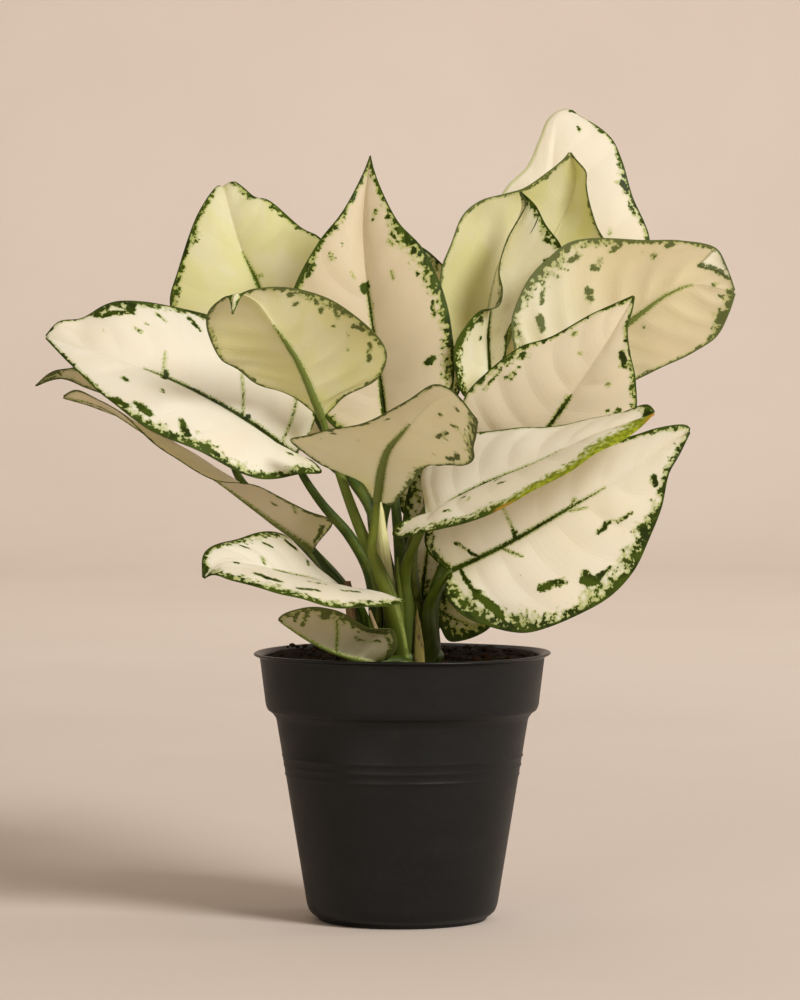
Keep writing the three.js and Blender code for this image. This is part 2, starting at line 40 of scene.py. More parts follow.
# Each blade as three smooth lines from its base to its tip: the rib and the two margins.
# The last point of the rib is the tip, where both margins end.
# left and right are as seen from the base towards the tip, on the upper face.
BLADES = {
    "far_left": {
        "rib": [(-43, -12, 187), (-64, -20, 203), (-94, -26, 219), (-120, -24, 228), (-143, -16, 235)],
        "left": [(-38, -15, 188.5), (-32, -18, 181), (-41, -28, 181), (-57, -40, 179), (-80, -50, 190),
            (-107, -48, 204), (-131, -30, 224)],
        "right": [(-41, -8, 192), (-35, -2, 204), (-50, 2, 230), (-79, 4, 244), (-96, -2, 248),
            (-115, -8, 249), (-128, -12, 242), (-137, -15, 241)],
    },
    "behind_far_left": {
        "rib": [(-72, 28, 193), (-99, 22, 206), (-125, 14, 217), (-138, 10, 220), (-149, 8, 215)],
        "left": [(-70, 30, 197), (-76, 40, 214), (-98, 38, 230), (-120, 26, 229), (-133, 16, 223),
            (-142, 11, 221)],
        "right": [(-74, 26, 190), (-84, 14, 192), (-100, 6, 202), (-115, 6, 210), (-128, 6, 214),
            (-138, 7, 218)],
    },
    "left_under": {
        "rib": [(-36, 4, 149), (-52, 0, 161), (-75, -4, 178), (-101, -6, 195), (-121, -6, 207),
            (-137, -6, 211)],
        "left": [(-34, 1, 152), (-28, -8, 161), (-38, -14, 165), (-57, -24, 176), (-74, -32, 178),
            (-92, -34, 188), (-105, -28, 200), (-121, -14, 210), (-131, -8, 214)],
        "right": [(-37, 9, 149), (-34, 24, 154), (-48, 32, 163), (-72, 32, 178), (-98, 24, 194),
            (-121, 8, 206)],
    },
    "upper_left": {
        "rib": [(-52, 40, 230), (-59, 48, 255), (-67, 56, 272), (-72, 63, 288), (-75, 73, 298),
            (-76, 90, 290)],
        "left": [(-56, 40, 229), (-78, 42, 226), (-92, 44, 236), (-96, 46, 250), (-93, 50, 262),
            (-86, 58, 284), (-80, 66, 295), (-77, 74, 298)],
        "right": [(-48, 40, 231), (-30, 44, 232), (-24, 46, 252), (-33, 50, 275), (-42, 56, 281),
            (-56, 64, 292), (-61, 66, 293), (-67, 70, 298), (-71, 76, 300)],
    },
    "front_round": {
        "rib": [(-32, -22, 203), (-41, -40, 225), (-49, -56, 238), (-57, -71, 249), (-64, -83, 251),
            (-65, -87, 243)],
        "left": [(-29, -21, 205), (-23, -25, 212), (-10, -30, 218), (-6, -36, 228), (-12, -44, 238),
            (-24, -54, 247), (-43, -66, 254), (-60, -79, 252)],
        "right": [(-34, -21, 204), (-43, -22, 211), (-56, -31, 216), (-64, -41, 221), (-71, -52, 226),
            (-76, -68, 240), (-74, -76, 245), (-67, -82, 250)],
    },
    "centre": {
        "rib": [(-6, 8, 193), (-9, 10, 218), (-13, 12, 247), (-15, 14, 262), (-16, 20, 283),
            (-13, 30, 310)],
        "left": [(-10, 8, 193), (-24, 4, 196), (-38, 4, 212), (-46, 6, 236), (-44, 8, 254),
            (-34, 10, 273), (-25, 16, 285), (-17, 25, 300)],
        "right": [(-2, 8, 193), (12, 3, 197), (20, 3, 212), (21, 4, 228), (18, 6, 248), (9, 9, 270),
            (-1, 14, 281), (-7, 20, 292), (-11, 26, 302)],
    },
    "front_centre": {
        "rib": [(-10, -26, 170), (-9, -34, 178), (-6, -48, 190), (0, -62, 198), (11, -82, 210),
            (19, -94, 213), (29, -104, 203)],
        "left": [(-8, -26, 169), (-5, -27, 168), (1, -34, 174), (9, -44, 183), (15, -56, 185),
            (26, -76, 186), (28, -90, 194)],
        "right": [(-12, -26, 169), (-17, -24, 177), (-26, -27, 182), (-36, -34, 188), (-44, -42, 195),
            (-36, -50, 197), (-13, -70, 203), (1, -82, 210), (12, -92, 217), (17, -95, 216),
            (22, -99, 212)],
    },
    "top_right": {
        "rib": [(64, 52, 232), (62, 58, 264), (62, 66, 296), (64, 74, 319), (66, 80, 328), (71, 86, 331)],
        "left": [(60, 52, 232), (42, 54, 238), (34, 58, 262), (37, 62, 284), (43, 66, 297), (52, 70, 306),
            (57, 74, 317), (61, 80, 326), (66, 85, 330)],
        "right": [(68, 52, 230), (86, 52, 236), (99, 56, 252), (103, 62, 274), (101, 66, 283),
            (96, 70, 295), (92, 74, 309), (88, 79, 318), (80, 84, 325), (75, 86, 328)],
    },
    "funnel": {
        "rib": [(40, 34, 226), (52, 44, 255), (63, 51, 277), (70, 53, 292), (72, 50, 303), (69, 46, 312)],
        "left": [(44, 34, 225), (66, 40, 232), (84, 46, 252), (86, 46, 270), (80, 43, 281), (77, 42, 290),
            (76, 42, 298), (76, 43, 303), (72, 45, 308)],
        "right": [(36, 33, 227), (24, 28, 228), (16, 29, 243), (16, 30, 262), (20, 32, 273),
            (25, 34, 285), (32, 36, 291), (42, 40, 294), (50, 42, 296), (60, 45, 303), (67, 46, 309)],
    },
    "narrow": {
        "rib": [(36, 10, 214), (35, 16, 238), (38, 22, 258), (44, 27, 276), (49, 31, 288), (48, 32, 295)],
        "left": [(32, 9, 214), (25, 2, 211), (21, -1, 222), (22, -2, 233), (26, 0, 239), (32, 4, 245),
            (39, 7, 247), (41, 10, 254), (40, 13, 262), (43, 18, 274), (49, 24, 285), (51, 28, 290)],
        "right": [(40, 9, 214), (42, 6, 226), (44, 6, 238), (54, 8, 250), (63, 10, 262), (65, 14, 271),
            (58, 19, 281), (54, 26, 289)],
    },
    "right_under": {
        "rib": [(56, 4, 214), (79, 2, 232), (93, 1, 242), (107, 0, 252), (118, -1, 256), (134, -4, 253)],
        "left": [(59, 3, 211), (74, 0, 208), (90, -3, 216), (103, -5, 222), (117, -7, 229),
            (126, -7, 235), (131, -6, 244)],
        "right": [(53, 4, 216), (46, 3, 228), (44, 2, 241), (47, 2, 251), (52, 2, 260), (59, 2, 267),
            (67, 3, 273), (77, 4, 275), (98, 4, 274), (112, 2, 274), (126, 0, 271), (130, -3, 264)],
    },
    "right_middle": {
        "rib": [(41, 4, 173), (58, -8, 198), (67, -12, 211), (81, -16, 232), (93, -15, 252)],
        "left": [(38, 4, 174), (24, 2, 186), (23, -4, 200), (25, -9, 211), (34, -11, 221), (47, -12, 231),
            (59, -13, 235), (75, -14, 244), (84, -14, 248)],
        "right": [(44, 4, 171), (60, -2, 172), (78, -10, 182), (92, -18, 198), (93, -20, 218),
            (91, -19, 228), (90, -18, 238), (92, -16, 246)],
    },
    "right_front": {
        "rib": [(9, -22, 160), (23, -26, 172), (52, -32, 185), (80, -38, 198), (100, -42, 205)],
        "left": [(10, -20, 163), (9, -15, 168), (8, -9, 172), (7, -5, 179), (12, -3, 188), (20, -6, 194),
            (31, -12, 197), (45, -18, 199), (59, -20, 199), (75, -25, 202), (87, -31, 205),
            (97, -38, 208)],
        "right": [(11, -24, 161), (5, -31, 163), (-2, -37, 161), (-4, -41, 157), (0, -46, 156),
            (7, -50, 158), (24, -57, 162), (38, -61, 169), (48, -62, 174), (65, -62, 183), (74, -60, 189),
            (86, -54, 195), (94, -48, 200)],
    },
    "lower_right": {
        "rib": [(19, -14, 141), (41, -18, 152), (65, -22, 166), (82, -24, 176), (115, -24, 198)],
        "left": [(17, -13, 143), (10, -13, 150), (9, -13, 156), (14, -14, 166), (28, -15, 177),
            (46, -17, 184), (66, -19, 189), (92, -24, 196), (102, -25, 199), (113, -25, 200)],
        "right": [(20, -16, 139), (17, -20, 133), (22, -24, 126), (29, -27, 122), (47, -32, 118),
            (58, -34, 120), (72, -35, 126), (83, -35, 133), (92, -34, 143), (98, -33, 156),
            (103, -31, 168), (106, -29, 181), (110, -27, 188)],
    },
    "lower_left": {
        "rib": [(-20, -22, 131), (-32, -31, 138), (-45, -42, 142), (-60, -52, 146), (-70, -58, 147),
            (-78, -61, 141)],
        "left": [(-17, -25, 131), (-12, -29, 131), (-2, -38, 131), (1, -46, 130), (-6, -52, 129),
            (-19, -60, 129), (-35, -67, 131), (-55, -72, 138), (-66, -70, 141), (-73, -66, 143)],
        "right": [(-22, -19, 131), (-25, -14, 134), (-31, -10, 139), (-41, -12, 148), (-47, -20, 156),
            (-56, -29, 157), (-67, -40, 155), (-76, -51, 152), (-78, -56, 149)],
    },
    "at_rim": {
        "rib": [(-10, -28, 105.5), (-23, -35, 109), (-34, -41, 114), (-42, -45, 119), (-49, -48, 124)],
        "left": [(-9, -30, 106.5), (-5, -33, 108), (-2, -37, 113), (-4, -40, 120), (-13, -45, 121),
            (-20, -49, 125), (-32, -54, 130), (-43, -54, 128), (-47, -51, 126)],
        "right": [(-12, -26, 106), (-16, -22, 108), (-20, -20, 114), (-32, -26, 118), (-42, -36, 121)],
    },
    "small_right": {
        "rib": [(13, 12, 125), (25, 13, 119), (38, 14, 119)],
        "left": [(13, 13, 127), (15, 15, 131), (25, 17, 131), (34, 16, 127)],
        "right": [(13, 11, 123), (15, 9, 118), (19, 8, 112), (28, 8, 113), (34, 10, 116)],
    },
    "behind_stalks": {
        "rib": [(7, 16, 125), (10, 22, 146), (13, 31, 166), (16, 44, 184), (20, 62, 196)],
        "left": [(6, 16, 126), (2, 17, 138), (0, 24, 158), (4, 34, 178), (12, 50, 192)],
        "right": [(8, 16, 126), (18, 18, 138), (24, 26, 156), (30, 36, 174), (28, 50, 190)],
    },
    "back_centre": {
        "rib": [(6, 30, 196), (8, 44, 222), (6, 56, 250), (1, 64, 275)],
        "left": [(2, 30, 196), (-8, 38, 205), (-20, 48, 230), (-18, 56, 252), (-8, 61, 268)],
        "right": [(10, 30, 196), (20, 40, 205), (30, 50, 235), (26, 58, 255), (17, 62, 265),
            (9, 63, 272)],
    },
    "back_right": {
        "rib": [(10, 36, 150), (22, 62, 180), (32, 92, 205), (38, 118, 205)],
        "left": [(8, 38, 152), (-4, 56, 170), (2, 84, 192), (20, 108, 205)],
        "right": [(13, 36, 150), (34, 50, 164), (54, 72, 186), (52, 100, 202)],
    },
    "back_left": {
        "rib": [(-14, 34, 170), (-22, 52, 200), (-30, 78, 225), (-34, 104, 232)],
        "left": [(-17, 34, 170), (-38, 40, 188), (-56, 58, 212), (-52, 86, 230)],
        "right": [(-11, 34, 170), (-2, 42, 184), (-4, 62, 212), (-16, 90, 232)],
    },
}

# Each shoot: the middle and radius of its cane, and the way of every stalk from the cane to its blade.
SHOOTS = {
    "left": {"cane": ((-12, -3), 6), "stalks": {
        "far_left": [(-12, -3, 104), (-10.5, -4, 120), (-13, -6, 140), (-21, -8, 155), (-32, -10, 168),
            (-40, -12, 180)],
        "left_under": [(-14, -1, 104), (-18, 2, 121), (-24, 3, 133), (-31, 4, 142)],
        "behind_far_left": [(-13, 1, 104), (-17, 7, 120), (-24, 14, 133), (-38, 26, 148), (-54, 38, 163),
            (-67, 37, 177)],
        "lower_left": [(-13, -6, 104), (-14, -12, 116), (-16.5, -17.5, 126)],
    }},
    "centre": {"cane": ((1, -4), 6), "stalks": {
        "centre": [(1, -2, 104), (0, 2, 135), (-3, 6, 170)],
        "upper_left": [(-1, 0, 104), (-3, 6, 125), (-7, 12, 145), (-13, 16, 166), (-21, 20, 178),
            (-38, 32, 208)],
        "front_round": [(0, -6, 104), (-2, -10, 118), (-5, -14, 132), (-12, -18, 148), (-17, -20, 159),
            (-25, -22, 181)],
        "front_centre": [(-1, -8, 104), (-3, -14, 119), (-7, -20, 134), (-12, -22, 150), (-11, -24, 161)],
        "at_rim": [(1, -8, 104), (-3, -18, 105.6)],
        "right_front": [(3, -5, 104), (2, -7, 125), (1, -9, 136), (2, -13, 145), (4, -17, 150)],
    }},
    "right": {"cane": ((11, 4), 6), "stalks": {
        "lower_right": [(10, 0, 104), (10.5, -4, 118), (11, -6, 128), (15, -11, 136)],
        "right_middle": [(12, 2, 104), (12, 1, 126), (17, 2, 142), (28, 4, 158)],
        "right_under": [(13, 5, 104), (12, 6, 124), (17, 7, 142), (28, 9, 160), (43, 10, 188)],
        "narrow": [(9, 6, 104), (6, 9, 122), (4, 12, 150), (12, 16, 168), (24, 14, 190)],
        "small_right": [(12, 7, 104), (9, 9.5, 114), (8, 11.4, 121)],
    }},
    "back": {"cane": ((1, 18), 7), "stalks": {
        "behind_stalks": [(4, 15, 104), (6, 15, 114)],
        "back_centre": [(-2, 17, 104), (-6, 18, 130), (-8, 24, 160)],
        "back_left": [(-3, 19, 104), (-8, 24, 130), (-12, 30, 155)],
        "back_right": [(1, 21, 104), (5, 28, 124), (8, 33, 140)],
        "funnel": [(5, 18, 104), (16, 24, 124), (28, 24, 150), (36, 30, 196)],
        "top_right": [(4, 21, 104), (12, 30, 124), (20, 35, 145), (36, 43, 175), (52, 48, 206)],
    }},
}
CANE_BOTTOM, CANE_TOP = 72, 110

# How thick a stalk is along its length, and how pale, where it isn't deep green
STALK_RADII = [(0, 3.4), (0.12, 3.2), (0.35, 2.7), (0.6, 2.15), (0.85, 1.65), (1, 1.3)]
STALK_TONES = {
    "front_centre": 0.4, "front_round": 0.25, "right_front": 0.25, "narrow": 0.3, "lower_right": 0.15,
}

# The spike of the centre shoot and the rolled leaf
SPIKE = [(0, -8, 104), (-1, -10, 128), (-2, -11, 147)]
SPIKE_RADII = [(0, 1.9), (0.5, 1.7), (0.85, 1), (1, 0.15)]
SPIKE_TONE = 0.4
YOUNG_LEAF = [(-3, -4, 111), (-5.5, -6, 130), (-8, -8, 152), (-9, -8, 171)]
YOUNG_RADII = [(0, 1.5), (0.15, 2.4), (0.4, 3.5), (0.7, 3.1), (0.9, 1.7), (1, 0.2)]

# The dry pieces: each one's node, way and radii, how flat it is, how far it is rolled, and its skin
DRY_PIECES = {
    "old_stub_brown": {
        "node": "brown_stub", "way": [(-20, -9, 96), (-20, -7, 116), (-22, -6, 137)],
        "radii": [(0, 2.2), (0.6, 2), (0.93, 1.9), (0.95, 1.5), (1, 1.2)], "flat": 0.8, "seam": 0,
        "skin": "brown_husk", "pale": (150, 118, 70), "dark": (84, 58, 30)},
    "old_stub_tan": {
        "node": "tan_stub", "way": [(-6, -13, 96), (-8, -15.5, 110), (-13, -20, 126)],
        "radii": [(0, 1.3), (0.7, 1.1), (1, 0.6)], "flat": 0.55, "seam": 0.3,
        "skin": "tan_husk", "pale": (214, 192, 150), "dark": (150, 122, 80)},
    "dead_sheath": {
        "node": "dry_sheath", "way": [(7, -9.5, 96), (6.5, -9.5, 112), (6, -9.5, 126)],
        "radii": [(0, 2.8), (0.5, 2.4), (0.8, 1.3), (1, 0.1)], "flat": 0.5, "seam": 0.3,
        "skin": "yellow_husk", "pale": (150, 134, 58), "dark": (84, 76, 30)},
}
FRONT = (0, -1, 0)

# The pot's wall as radius and height, from the middle of its foot up the outside and down the inside.
POT_OUTSIDE = [(0, 0), (34, 0), (34, 1.2), (35.6, 1.9), (37.6, 3.6), (38.6, 6.5), (46.7, 56.5)]
POT_COLLAR = [(50.9, 81.6), (52.6, 83.9), (54.4, 85), (55.1, 87), (57.4, 106.4)]
POT_LIP = [(59.4, 106.9), (60, 107.6), (58.9, 108.3)]
POT_INSIDE = [(56.2, 106.6), (53.9, 87), (51.4, 84.6), (49.7, 82), (37.4, 6.5), (36.4, 2.8), (0, 2.8)]
POT_RINGS = (59, 62.8, 66.6)
RING_OFFSETS = (-0.9, -0.45, 0, 0.45, 0.9)
POT_SIDES = 180
DRAIN_HOLES, DRAIN_CIRCLE, DRAIN_RADIUS = 8, 24, 3.4

# The soil: its level, its side as radius and height, and how finely it is divided. Its crumbs: how many,
# the share of large ones, how far out they lie, their sizes, and the heaped ones by x, y and size
SOIL_LEVEL = 103.4
SOIL_SIDE = [(35.8, 3.1), (37.2, 6.9), (49.45, 82.3), (51.1, 84.9), (53.6, 87.3), (55.4, 102.2)]
SOIL_SIDES, SOIL_RINGS = 150, 56
CRUMBS, LARGE_CRUMBS, CRUMB_REACH = 420, 0.2, 53.5
SMALL_CRUMB, LARGE_CRUMB = (0.5, 1.3), (1.3, 3)
HEAPED_CRUMBS = [(-45, 30, 2.1), (-43, 32, 1.4), (-40, 34, 1.7), (-47, 27, 1.5), (-36, 37, 1.2)]

# The blade's sheet, in mm
BLADE_ROWS = 84
BLADE_COLUMNS = (0.008, 0.017, 0.027, 0.04, 0.056, 0.076, 0.1, 0.13, 0.165, 0.205, 0.25, 0.3, 0.36, 0.42,
                 0.48, 0.54, 0.6, 0.66, 0.72, 0.78, 0.84, 0.89, 0.93, 0.96, 0.985, 1)
RIB_LAG = 1.3       # the side veins run forward, so the rib is behind the margin by this power
BLADE_END = 0.992
VEINS = 9           # side veins on each side of the rib
VEIN_SWEEP = 0.13   # how far a side vein bends towards the tip before it meets the margin
SHEET = 0.25        # half the blade's thickness, mm
KEEL = [(0, 1.35), (0.5, 0.8), (0.9, 0.15)]     # how far the rib stands out below, from base to tip
MARGIN_WAVE = 0.55  # how far the margin waves
THIN_MARK = 0.85    # a streak narrower than this is drawn as a plain vein
NOWHERE = -4        # the distance inside a mark where there is none
BASE_TINT = 0.4     # how much more tint there is at the blade's base

# How each blade looks. tint runs from cream to yellow-green. Two more values darken the cream, towards
# peach
# and towards grey: painted shade, where a blade lies in shade. flecks is how many stray marks it has.
# ripple is how far the sheet swells between its side veins, and arch how far each half bows, in mm. left
# and right are the width in mm of the green margin, and rib the half width of the green midrib, from base
# to tip as (share, width)
# pairs. Below about 0.5 the margin is plain. gold is how yellow the right margin is. marks are green
# streaks:
# from a share of the length and a place (-1 left margin, 0 rib, 1 right margin) to another, or only a dot
# at the first, and their width in mm. fold is a corner painted a paler cream where the blade turns up; the
# sheet itself isn't bent.
PLAIN_LOOK = {
    "tint": 0, "peach_shade": [(0, 0.2)], "grey_shade": 0, "flecks": 0.5, "ripple": 0.5, "arch": 1.6,
    "left": [(0, 3), (0.5, 2.5), (1, 1.5)], "right": [(0, 3), (0.5, 2.5), (1, 1.5)],
    "rib": [(0, 1.1), (0.4, 0.6), (0.7, 0)], "gold": [(0, 0), (1, 0)], "marks": [], "fold": [],
}
LOOKS = {
    "far_left": {
        "peach_shade": [(0, 0)], "flecks": 0.25, "arch": 2.2,
        "left": [(0, 1.5), (0.1, 2.5), (0.35, 2.5), (0.43, 3.5), (0.6, 2.5), (0.66, 2), (0.75, 1),
            (1, 0.8)],
        "right": [(0, 1), (0.3, 1.5), (0.5, 3.5), (0.62, 2), (0.7, 3), (0.76, 4), (0.81, 3.5), (0.86, 1),
            (1, 0.8)],
        "rib": [(0, 1.7), (0.3, 1.3), (0.5, 1), (0.62, 0.7), (0.7, 0)],
        "marks": [(0.665, 0.8, 0.64, 0.71, 1.2), (0.72, 0.5, 0.71, 0.47, 1.5), (0.69, 0.6, 1.2),
            (0.81, 0.42, 1), (0.81, 0.73, 0.74, 0.75, 2), (0.74, 0.75, 0.73, 0.95, 2.6),
            (0.82, 0.75, 0.85, 0.95, 2.4), (0.57, 0.85, 0.54, 0.74, 1.8), (0.62, 0.05, 0.625, -0.04, 2),
            (0.63, 0, 0.63, 0.28, 0.5), (0.33, 0, 0.385, 0.42, 0.6), (0.31, 0, 0.31, 0.04, 2),
            (0.13, 0, 0.2, 0.85, 0.7), (0.2, 0.82, 0.2, 0.9, 2), (0.03, 0, 0.02, 0.4, 2.4),
            (0.6, -0.34, 0.61, -0.32, 1.2), (0.72, -0.45, 0.7, -0.47, 1.2), (0.6, -0.8, 0.64, -0.76, 2.6),
            (0.655, -0.88, 0.7, -0.9, 2), (0.52, -0.65, 1.4), (0.51, -0.74, 0.49, -0.86, 2.2),
            (0.43, -0.9, 0.4, -0.93, 2.2), (0.14, -0.5, 0.16, -0.5, 1), (0.47, -0.74, 0.46, -0.75, 1)]},
    "behind_far_left": {
        "tint": 0.05, "peach_shade": [(0, 0.7)], "flecks": 0.3, "left": [(0, 3), (1, 2)],
        "right": [(0, 4), (0.6, 4), (1, 2)]},
    "left_under": {
        "tint": 0.05, "peach_shade": [(0, 0.6)], "flecks": 0.15,
        "left": [(0, 1.5), (0.1, 1), (0.3, 1.4), (0.4, 0.9), (1, 0.8)], "right": [(0, 2), (1, 2)],
        "rib": [(0, 1), (0.8, 0.5), (1, 0)],
        "marks": [(0.05, -0.35, 0.1, -0.7, 2), (0.27, -0.5, 0.28, -0.52, 1.4),
            (0.2, -0.7, 0.22, -0.95, 0.8)]},
    "upper_left": {
        "tint": 0.75, "flecks": 0.1, "ripple": 0.6, "arch": 2.4,
        "left": [(0, 1.2), (0.4, 1.8), (0.55, 1.6), (0.62, 2.4), (0.7, 1.2), (1, 1)],
        "right": [(0, 1.2), (0.6, 1.3), (0.84, 2), (0.9, 3), (1, 2)],
        "rib": [(0, 1.1), (0.35, 0.9), (0.43, 0.9), (0.5, 0.35), (0.56, 0)],
        "marks": [(0.44, -0.88, 0.43, -0.93, 1.8), (0.48, -0.93, 0.46, -0.95, 1.2),
            (0.66, -0.9, 0.64, -0.94, 1.4), (0.68, 0.94, 0.67, 0.88, 1.6), (0.77, 0.92, 0.76, 0.86, 1.8),
            (0.43, 0, 0.42, 0.1, 0.6)]},
    "front_round": {
        "tint": 0.6, "flecks": 0.1,
        "left": [(0, 0.9), (0.28, 1), (0.4, 2), (0.62, 2.2), (0.75, 1.2), (1, 0.9)],
        "right": [(0, 0.9), (0.5, 0.9), (0.6, 1.5), (0.9, 1.4), (1, 0.9)],
        "rib": [(0, 1.5), (0.2, 1.4), (0.4, 1), (0.5, 0.9), (0.6, 0.4), (0.66, 0)],
        "marks": [(0.29, -0.77, 0.35, -0.86, 1.3), (0.42, -0.92, 0.45, -0.86, 1.6), (0.42, -0.7, 1),
            (0.5, -0.78, 0.52, -0.82, 1.3), (0.48, -0.66, 0.8), (0.57, -0.76, 0.56, -0.7, 1.4),
            (0.62, -0.86, 0.6, -0.8, 1.5), (0.7, -0.78, 0.71, -0.72, 1.3),
            (0.66, -0.6, 0.655, -0.63, 1.3), (0.75, -0.9, 0.76, -0.9, 1.2), (0.36, -0.6, 0.8),
            (0.54, -0.9, 0.53, -0.84, 1.3)]},
    "centre": {
        "peach_shade": [(0, 0.85)], "flecks": 0.25, "ripple": 0.6, "arch": 2.6,
        "left": [(0, 2), (0.4, 2), (0.6, 2), (0.66, 1.2), (0.75, 1.6), (0.85, 1), (0.93, 1.4), (1, 2)],
        "right": [(0, 3), (0.3, 3), (0.4, 2.8), (0.5, 3), (0.58, 4.6), (0.66, 4.5), (0.72, 3.6),
            (0.78, 1.8), (0.9, 1.2), (1, 2)],
        "rib": [(0, 1.3), (0.2, 1.2), (0.3, 0.9), (0.45, 0.6), (0.55, 0.75), (0.6, 0.6), (0.61, 0)],
        "marks": [(0.62, 0.42, 0.6, 0.43, 0.8), (0.71, 0.55, 0.69, 0.6, 0.8),
            (0.81, 0.45, 0.81, 0.5, 1.4), (0.79, 0.38, 0.8), (0.59, 0.75, 0.59, 0.77, 1.3),
            (0.5, 0.84, 0.45, 0.8, 1), (0.33, 0.66, 0.335, 0.73, 2.4), (0.29, 0.83, 1.2),
            (0.46, 0.92, 0.8), (0.785, 0.78, 0.78, 0.82, 1.6), (0.735, 0.76, 0.74, 0.92, 1.2),
            (0.73, 0.7, 0.69, 0.7, 0.9), (0.71, 0.86, 0.68, 0.8, 1.4), (0.62, -0.84, 0.58, -0.88, 1.3),
            (0.67, -0.7, 0.9), (0.655, -0.6, 0.65, -0.68, 1.2), (0.7, -0.55, 0.9),
            (0.62, -0.22, 0.63, -0.26, 0.8), (0.61, 0, 0.59, -0.09, 2.6), (0.8, -0.9, 0.8, -0.92, 0.9),
            (0.74, -0.95, 0.73, -0.97, 2), (0.54, 0, 0.545, 0.05, 0.8)]},
    "front_centre": {
        "tint": 0.1, "peach_shade": [(0, 0), (0.15, 0), (0.35, 0.3), (1, 0.4)], "flecks": 0.15, "ripple": 0.35,
        "left": [(0, 1), (0.1, 1), (0.2, 1.8), (0.3, 2), (0.36, 0.9), (0.5, 0.8), (0.65, 1.2),
            (0.72, 3.8), (0.85, 4.6), (0.95, 5), (1, 4)],
        "right": [(0, 0.9), (0.45, 0.9), (0.55, 1.8), (0.62, 1), (1, 0.8)],
        "rib": [(0, 1.7), (0.2, 1.7), (0.3, 1.4), (0.4, 1.1), (0.5, 0.8), (0.58, 0.4), (0.62, 0)],
        "marks": [(0.62, -0.42, 0.7, -0.47, 1.1), (0.74, -0.22, 0.745, -0.24, 1.3),
            (0.84, -0.28, 0.84, -0.34, 1.2), (0.75, -0.46, 0.77, -0.54, 1.3), (0.76, -0.62, 1),
            (0.66, -0.55, 1), (0.55, -0.84, 0.62, -0.86, 1.8), (0.64, -0.78, 0.64, -0.82, 1.6),
            (0.5, -0.7, 0.9), (0.42, 0.82, 0.42, 0.78, 1.5), (0.44, 0.9, 0.44, 0.86, 1.1),
            (0.36, 0.78, 0.8), (0.4, 0.4, 0.9), (0.6, 0.6, 0.61, 0.6, 1)]},
    "top_right": {
        "flecks": 0.2, "ripple": 0.4, "left": [(0, 0.2), (1, 0.2)],
        "right": [(0, 2), (0.55, 1.6), (0.66, 2), (0.8, 1.1), (0.9, 1.4), (1, 1.2)],
        "marks": [(0.68, 0.9, 0.65, 0.95, 2), (0.6, 0.92, 0.57, 0.92, 1.6), (0.74, 0.93, 0.73, 0.94, 1.4),
            (0.68, 0.82, 0.9), (0.88, 0.45, 0.87, 0.45, 1), (0.87, 0.85, 0.86, 0.9, 1.6),
            (0.5, 0.6, 0.52, 0.62, 0.8), (0.97, 0.3, 0.99, 0.3, 1.2)]},
    "funnel": {
        "tint": 0.75, "grey_shade": 0.1, "flecks": 0.1, "ripple": 0.3, "left": [(0, 0.9), (1, 0.9)],
        "right": [(0, 0.9), (1, 0.9)], "rib": [(0, 0.9), (0.3, 0.4), (0.45, 0)],
        "marks": [(0.35, 0.2, 0.35, 0.22, 0.8), (0.42, 0.25, 0.7), (0.9, 0.85, 0.8, 0.92, 1)]},
    "narrow": {
        "tint": 0.3, "peach_shade": [(0, 0)], "flecks": 0.7, "ripple": 0.3, "arch": 0.8,
        "left": [(0, 3), (0.2, 2.6), (0.45, 2.4), (0.6, 2.6), (1, 1.5)],
        "right": [(0, 1), (0.5, 1), (0.6, 2.2), (0.9, 2.2), (1, 2)],
        "marks": [(0.42, -0.6, 0.4, -0.7, 2.2), (0.4, -0.4, 0.4, -0.44, 1.4),
            (0.38, -0.75, 0.36, -0.8, 1.8), (0.3, 0, 0.38, -0.04, 1), (0.33, -0.3, 1.2),
            (0.62, 0.75, 0.6, 0.85, 1.6), (0.72, 0.8, 0.7, 0.86, 1.4)]},
    "right_under": {
        "tint": 0.15, "peach_shade": [(0, 0), (0.35, 0), (0.55, 1), (1, 0.8)], "flecks": 0.2, "ripple": 1.05,
        "arch": 1.8, "left": [(0, 0.9), (0.7, 0.9), (0.78, 1.4), (0.84, 4), (0.9, 3), (1, 2)],
        "right": [(0, 1.5), (0.1, 3), (0.3, 2.6), (0.37, 5), (0.45, 4.5), (0.5, 2.4), (0.6, 1.2),
            (1, 0.9)],
        "rib": [(0, 1.5), (0.55, 1.1), (0.6, 1), (0.7, 0.5), (0.8, 0.25), (0.85, 0)],
        "marks": [(0.6, 0.94, 0.57, 0.84, 2), (0.74, 0.95, 0.735, 0.9, 2.4),
            (0.69, 0.77, 0.69, 0.72, 1.2), (0.66, 0.82, 0.8), (0.53, 0.76, 0.51, 0.66, 1.2),
            (0.5, 0.7, 0.5, 0.68, 0.9), (0.46, 0.5, 0.455, 0.4, 2), (0.44, 0.28, 0.9),
            (0.47, 0.84, 0.45, 0.84, 2.2), (0.34, 0.84, 0.3, 0.72, 1.2), (0.27, 0.66, 0.25, 0.56, 2.2),
            (0.11, 0.95, 0.08, 0.93, 1.8), (0.84, -0.88, 0.88, -0.8, 3), (0.92, -0.35, 0.93, -0.6, 1.3),
            (0.97, -0.3, 0.99, 0.3, 2.4), (0.92, 0.05, 0.925, 0.14, 1), (0.845, 0.5, 0.95, 0.72, 1.6),
            (0.75, -0.96, 0.78, -0.93, 1.4), (0.6, -0.2, 0.8)],
        "fold": [(0.87, 1.06), (0.835, 0.45), (0.955, 0.72), (0.955, 1.06)]},
    "right_middle": {
        "peach_shade": [(0, 0.6)], "flecks": 0.15, "ripple": 1, "arch": 2.2,
        "left": [(0, 0.2), (0.34, 0.3), (0.4, 1.4), (0.6, 1.6), (0.66, 1), (0.85, 0.8), (0.93, 1.2),
            (1, 1)],
        "right": [(0, 1.2), (0.6, 1.6), (0.8, 1.2), (1, 1.1)],
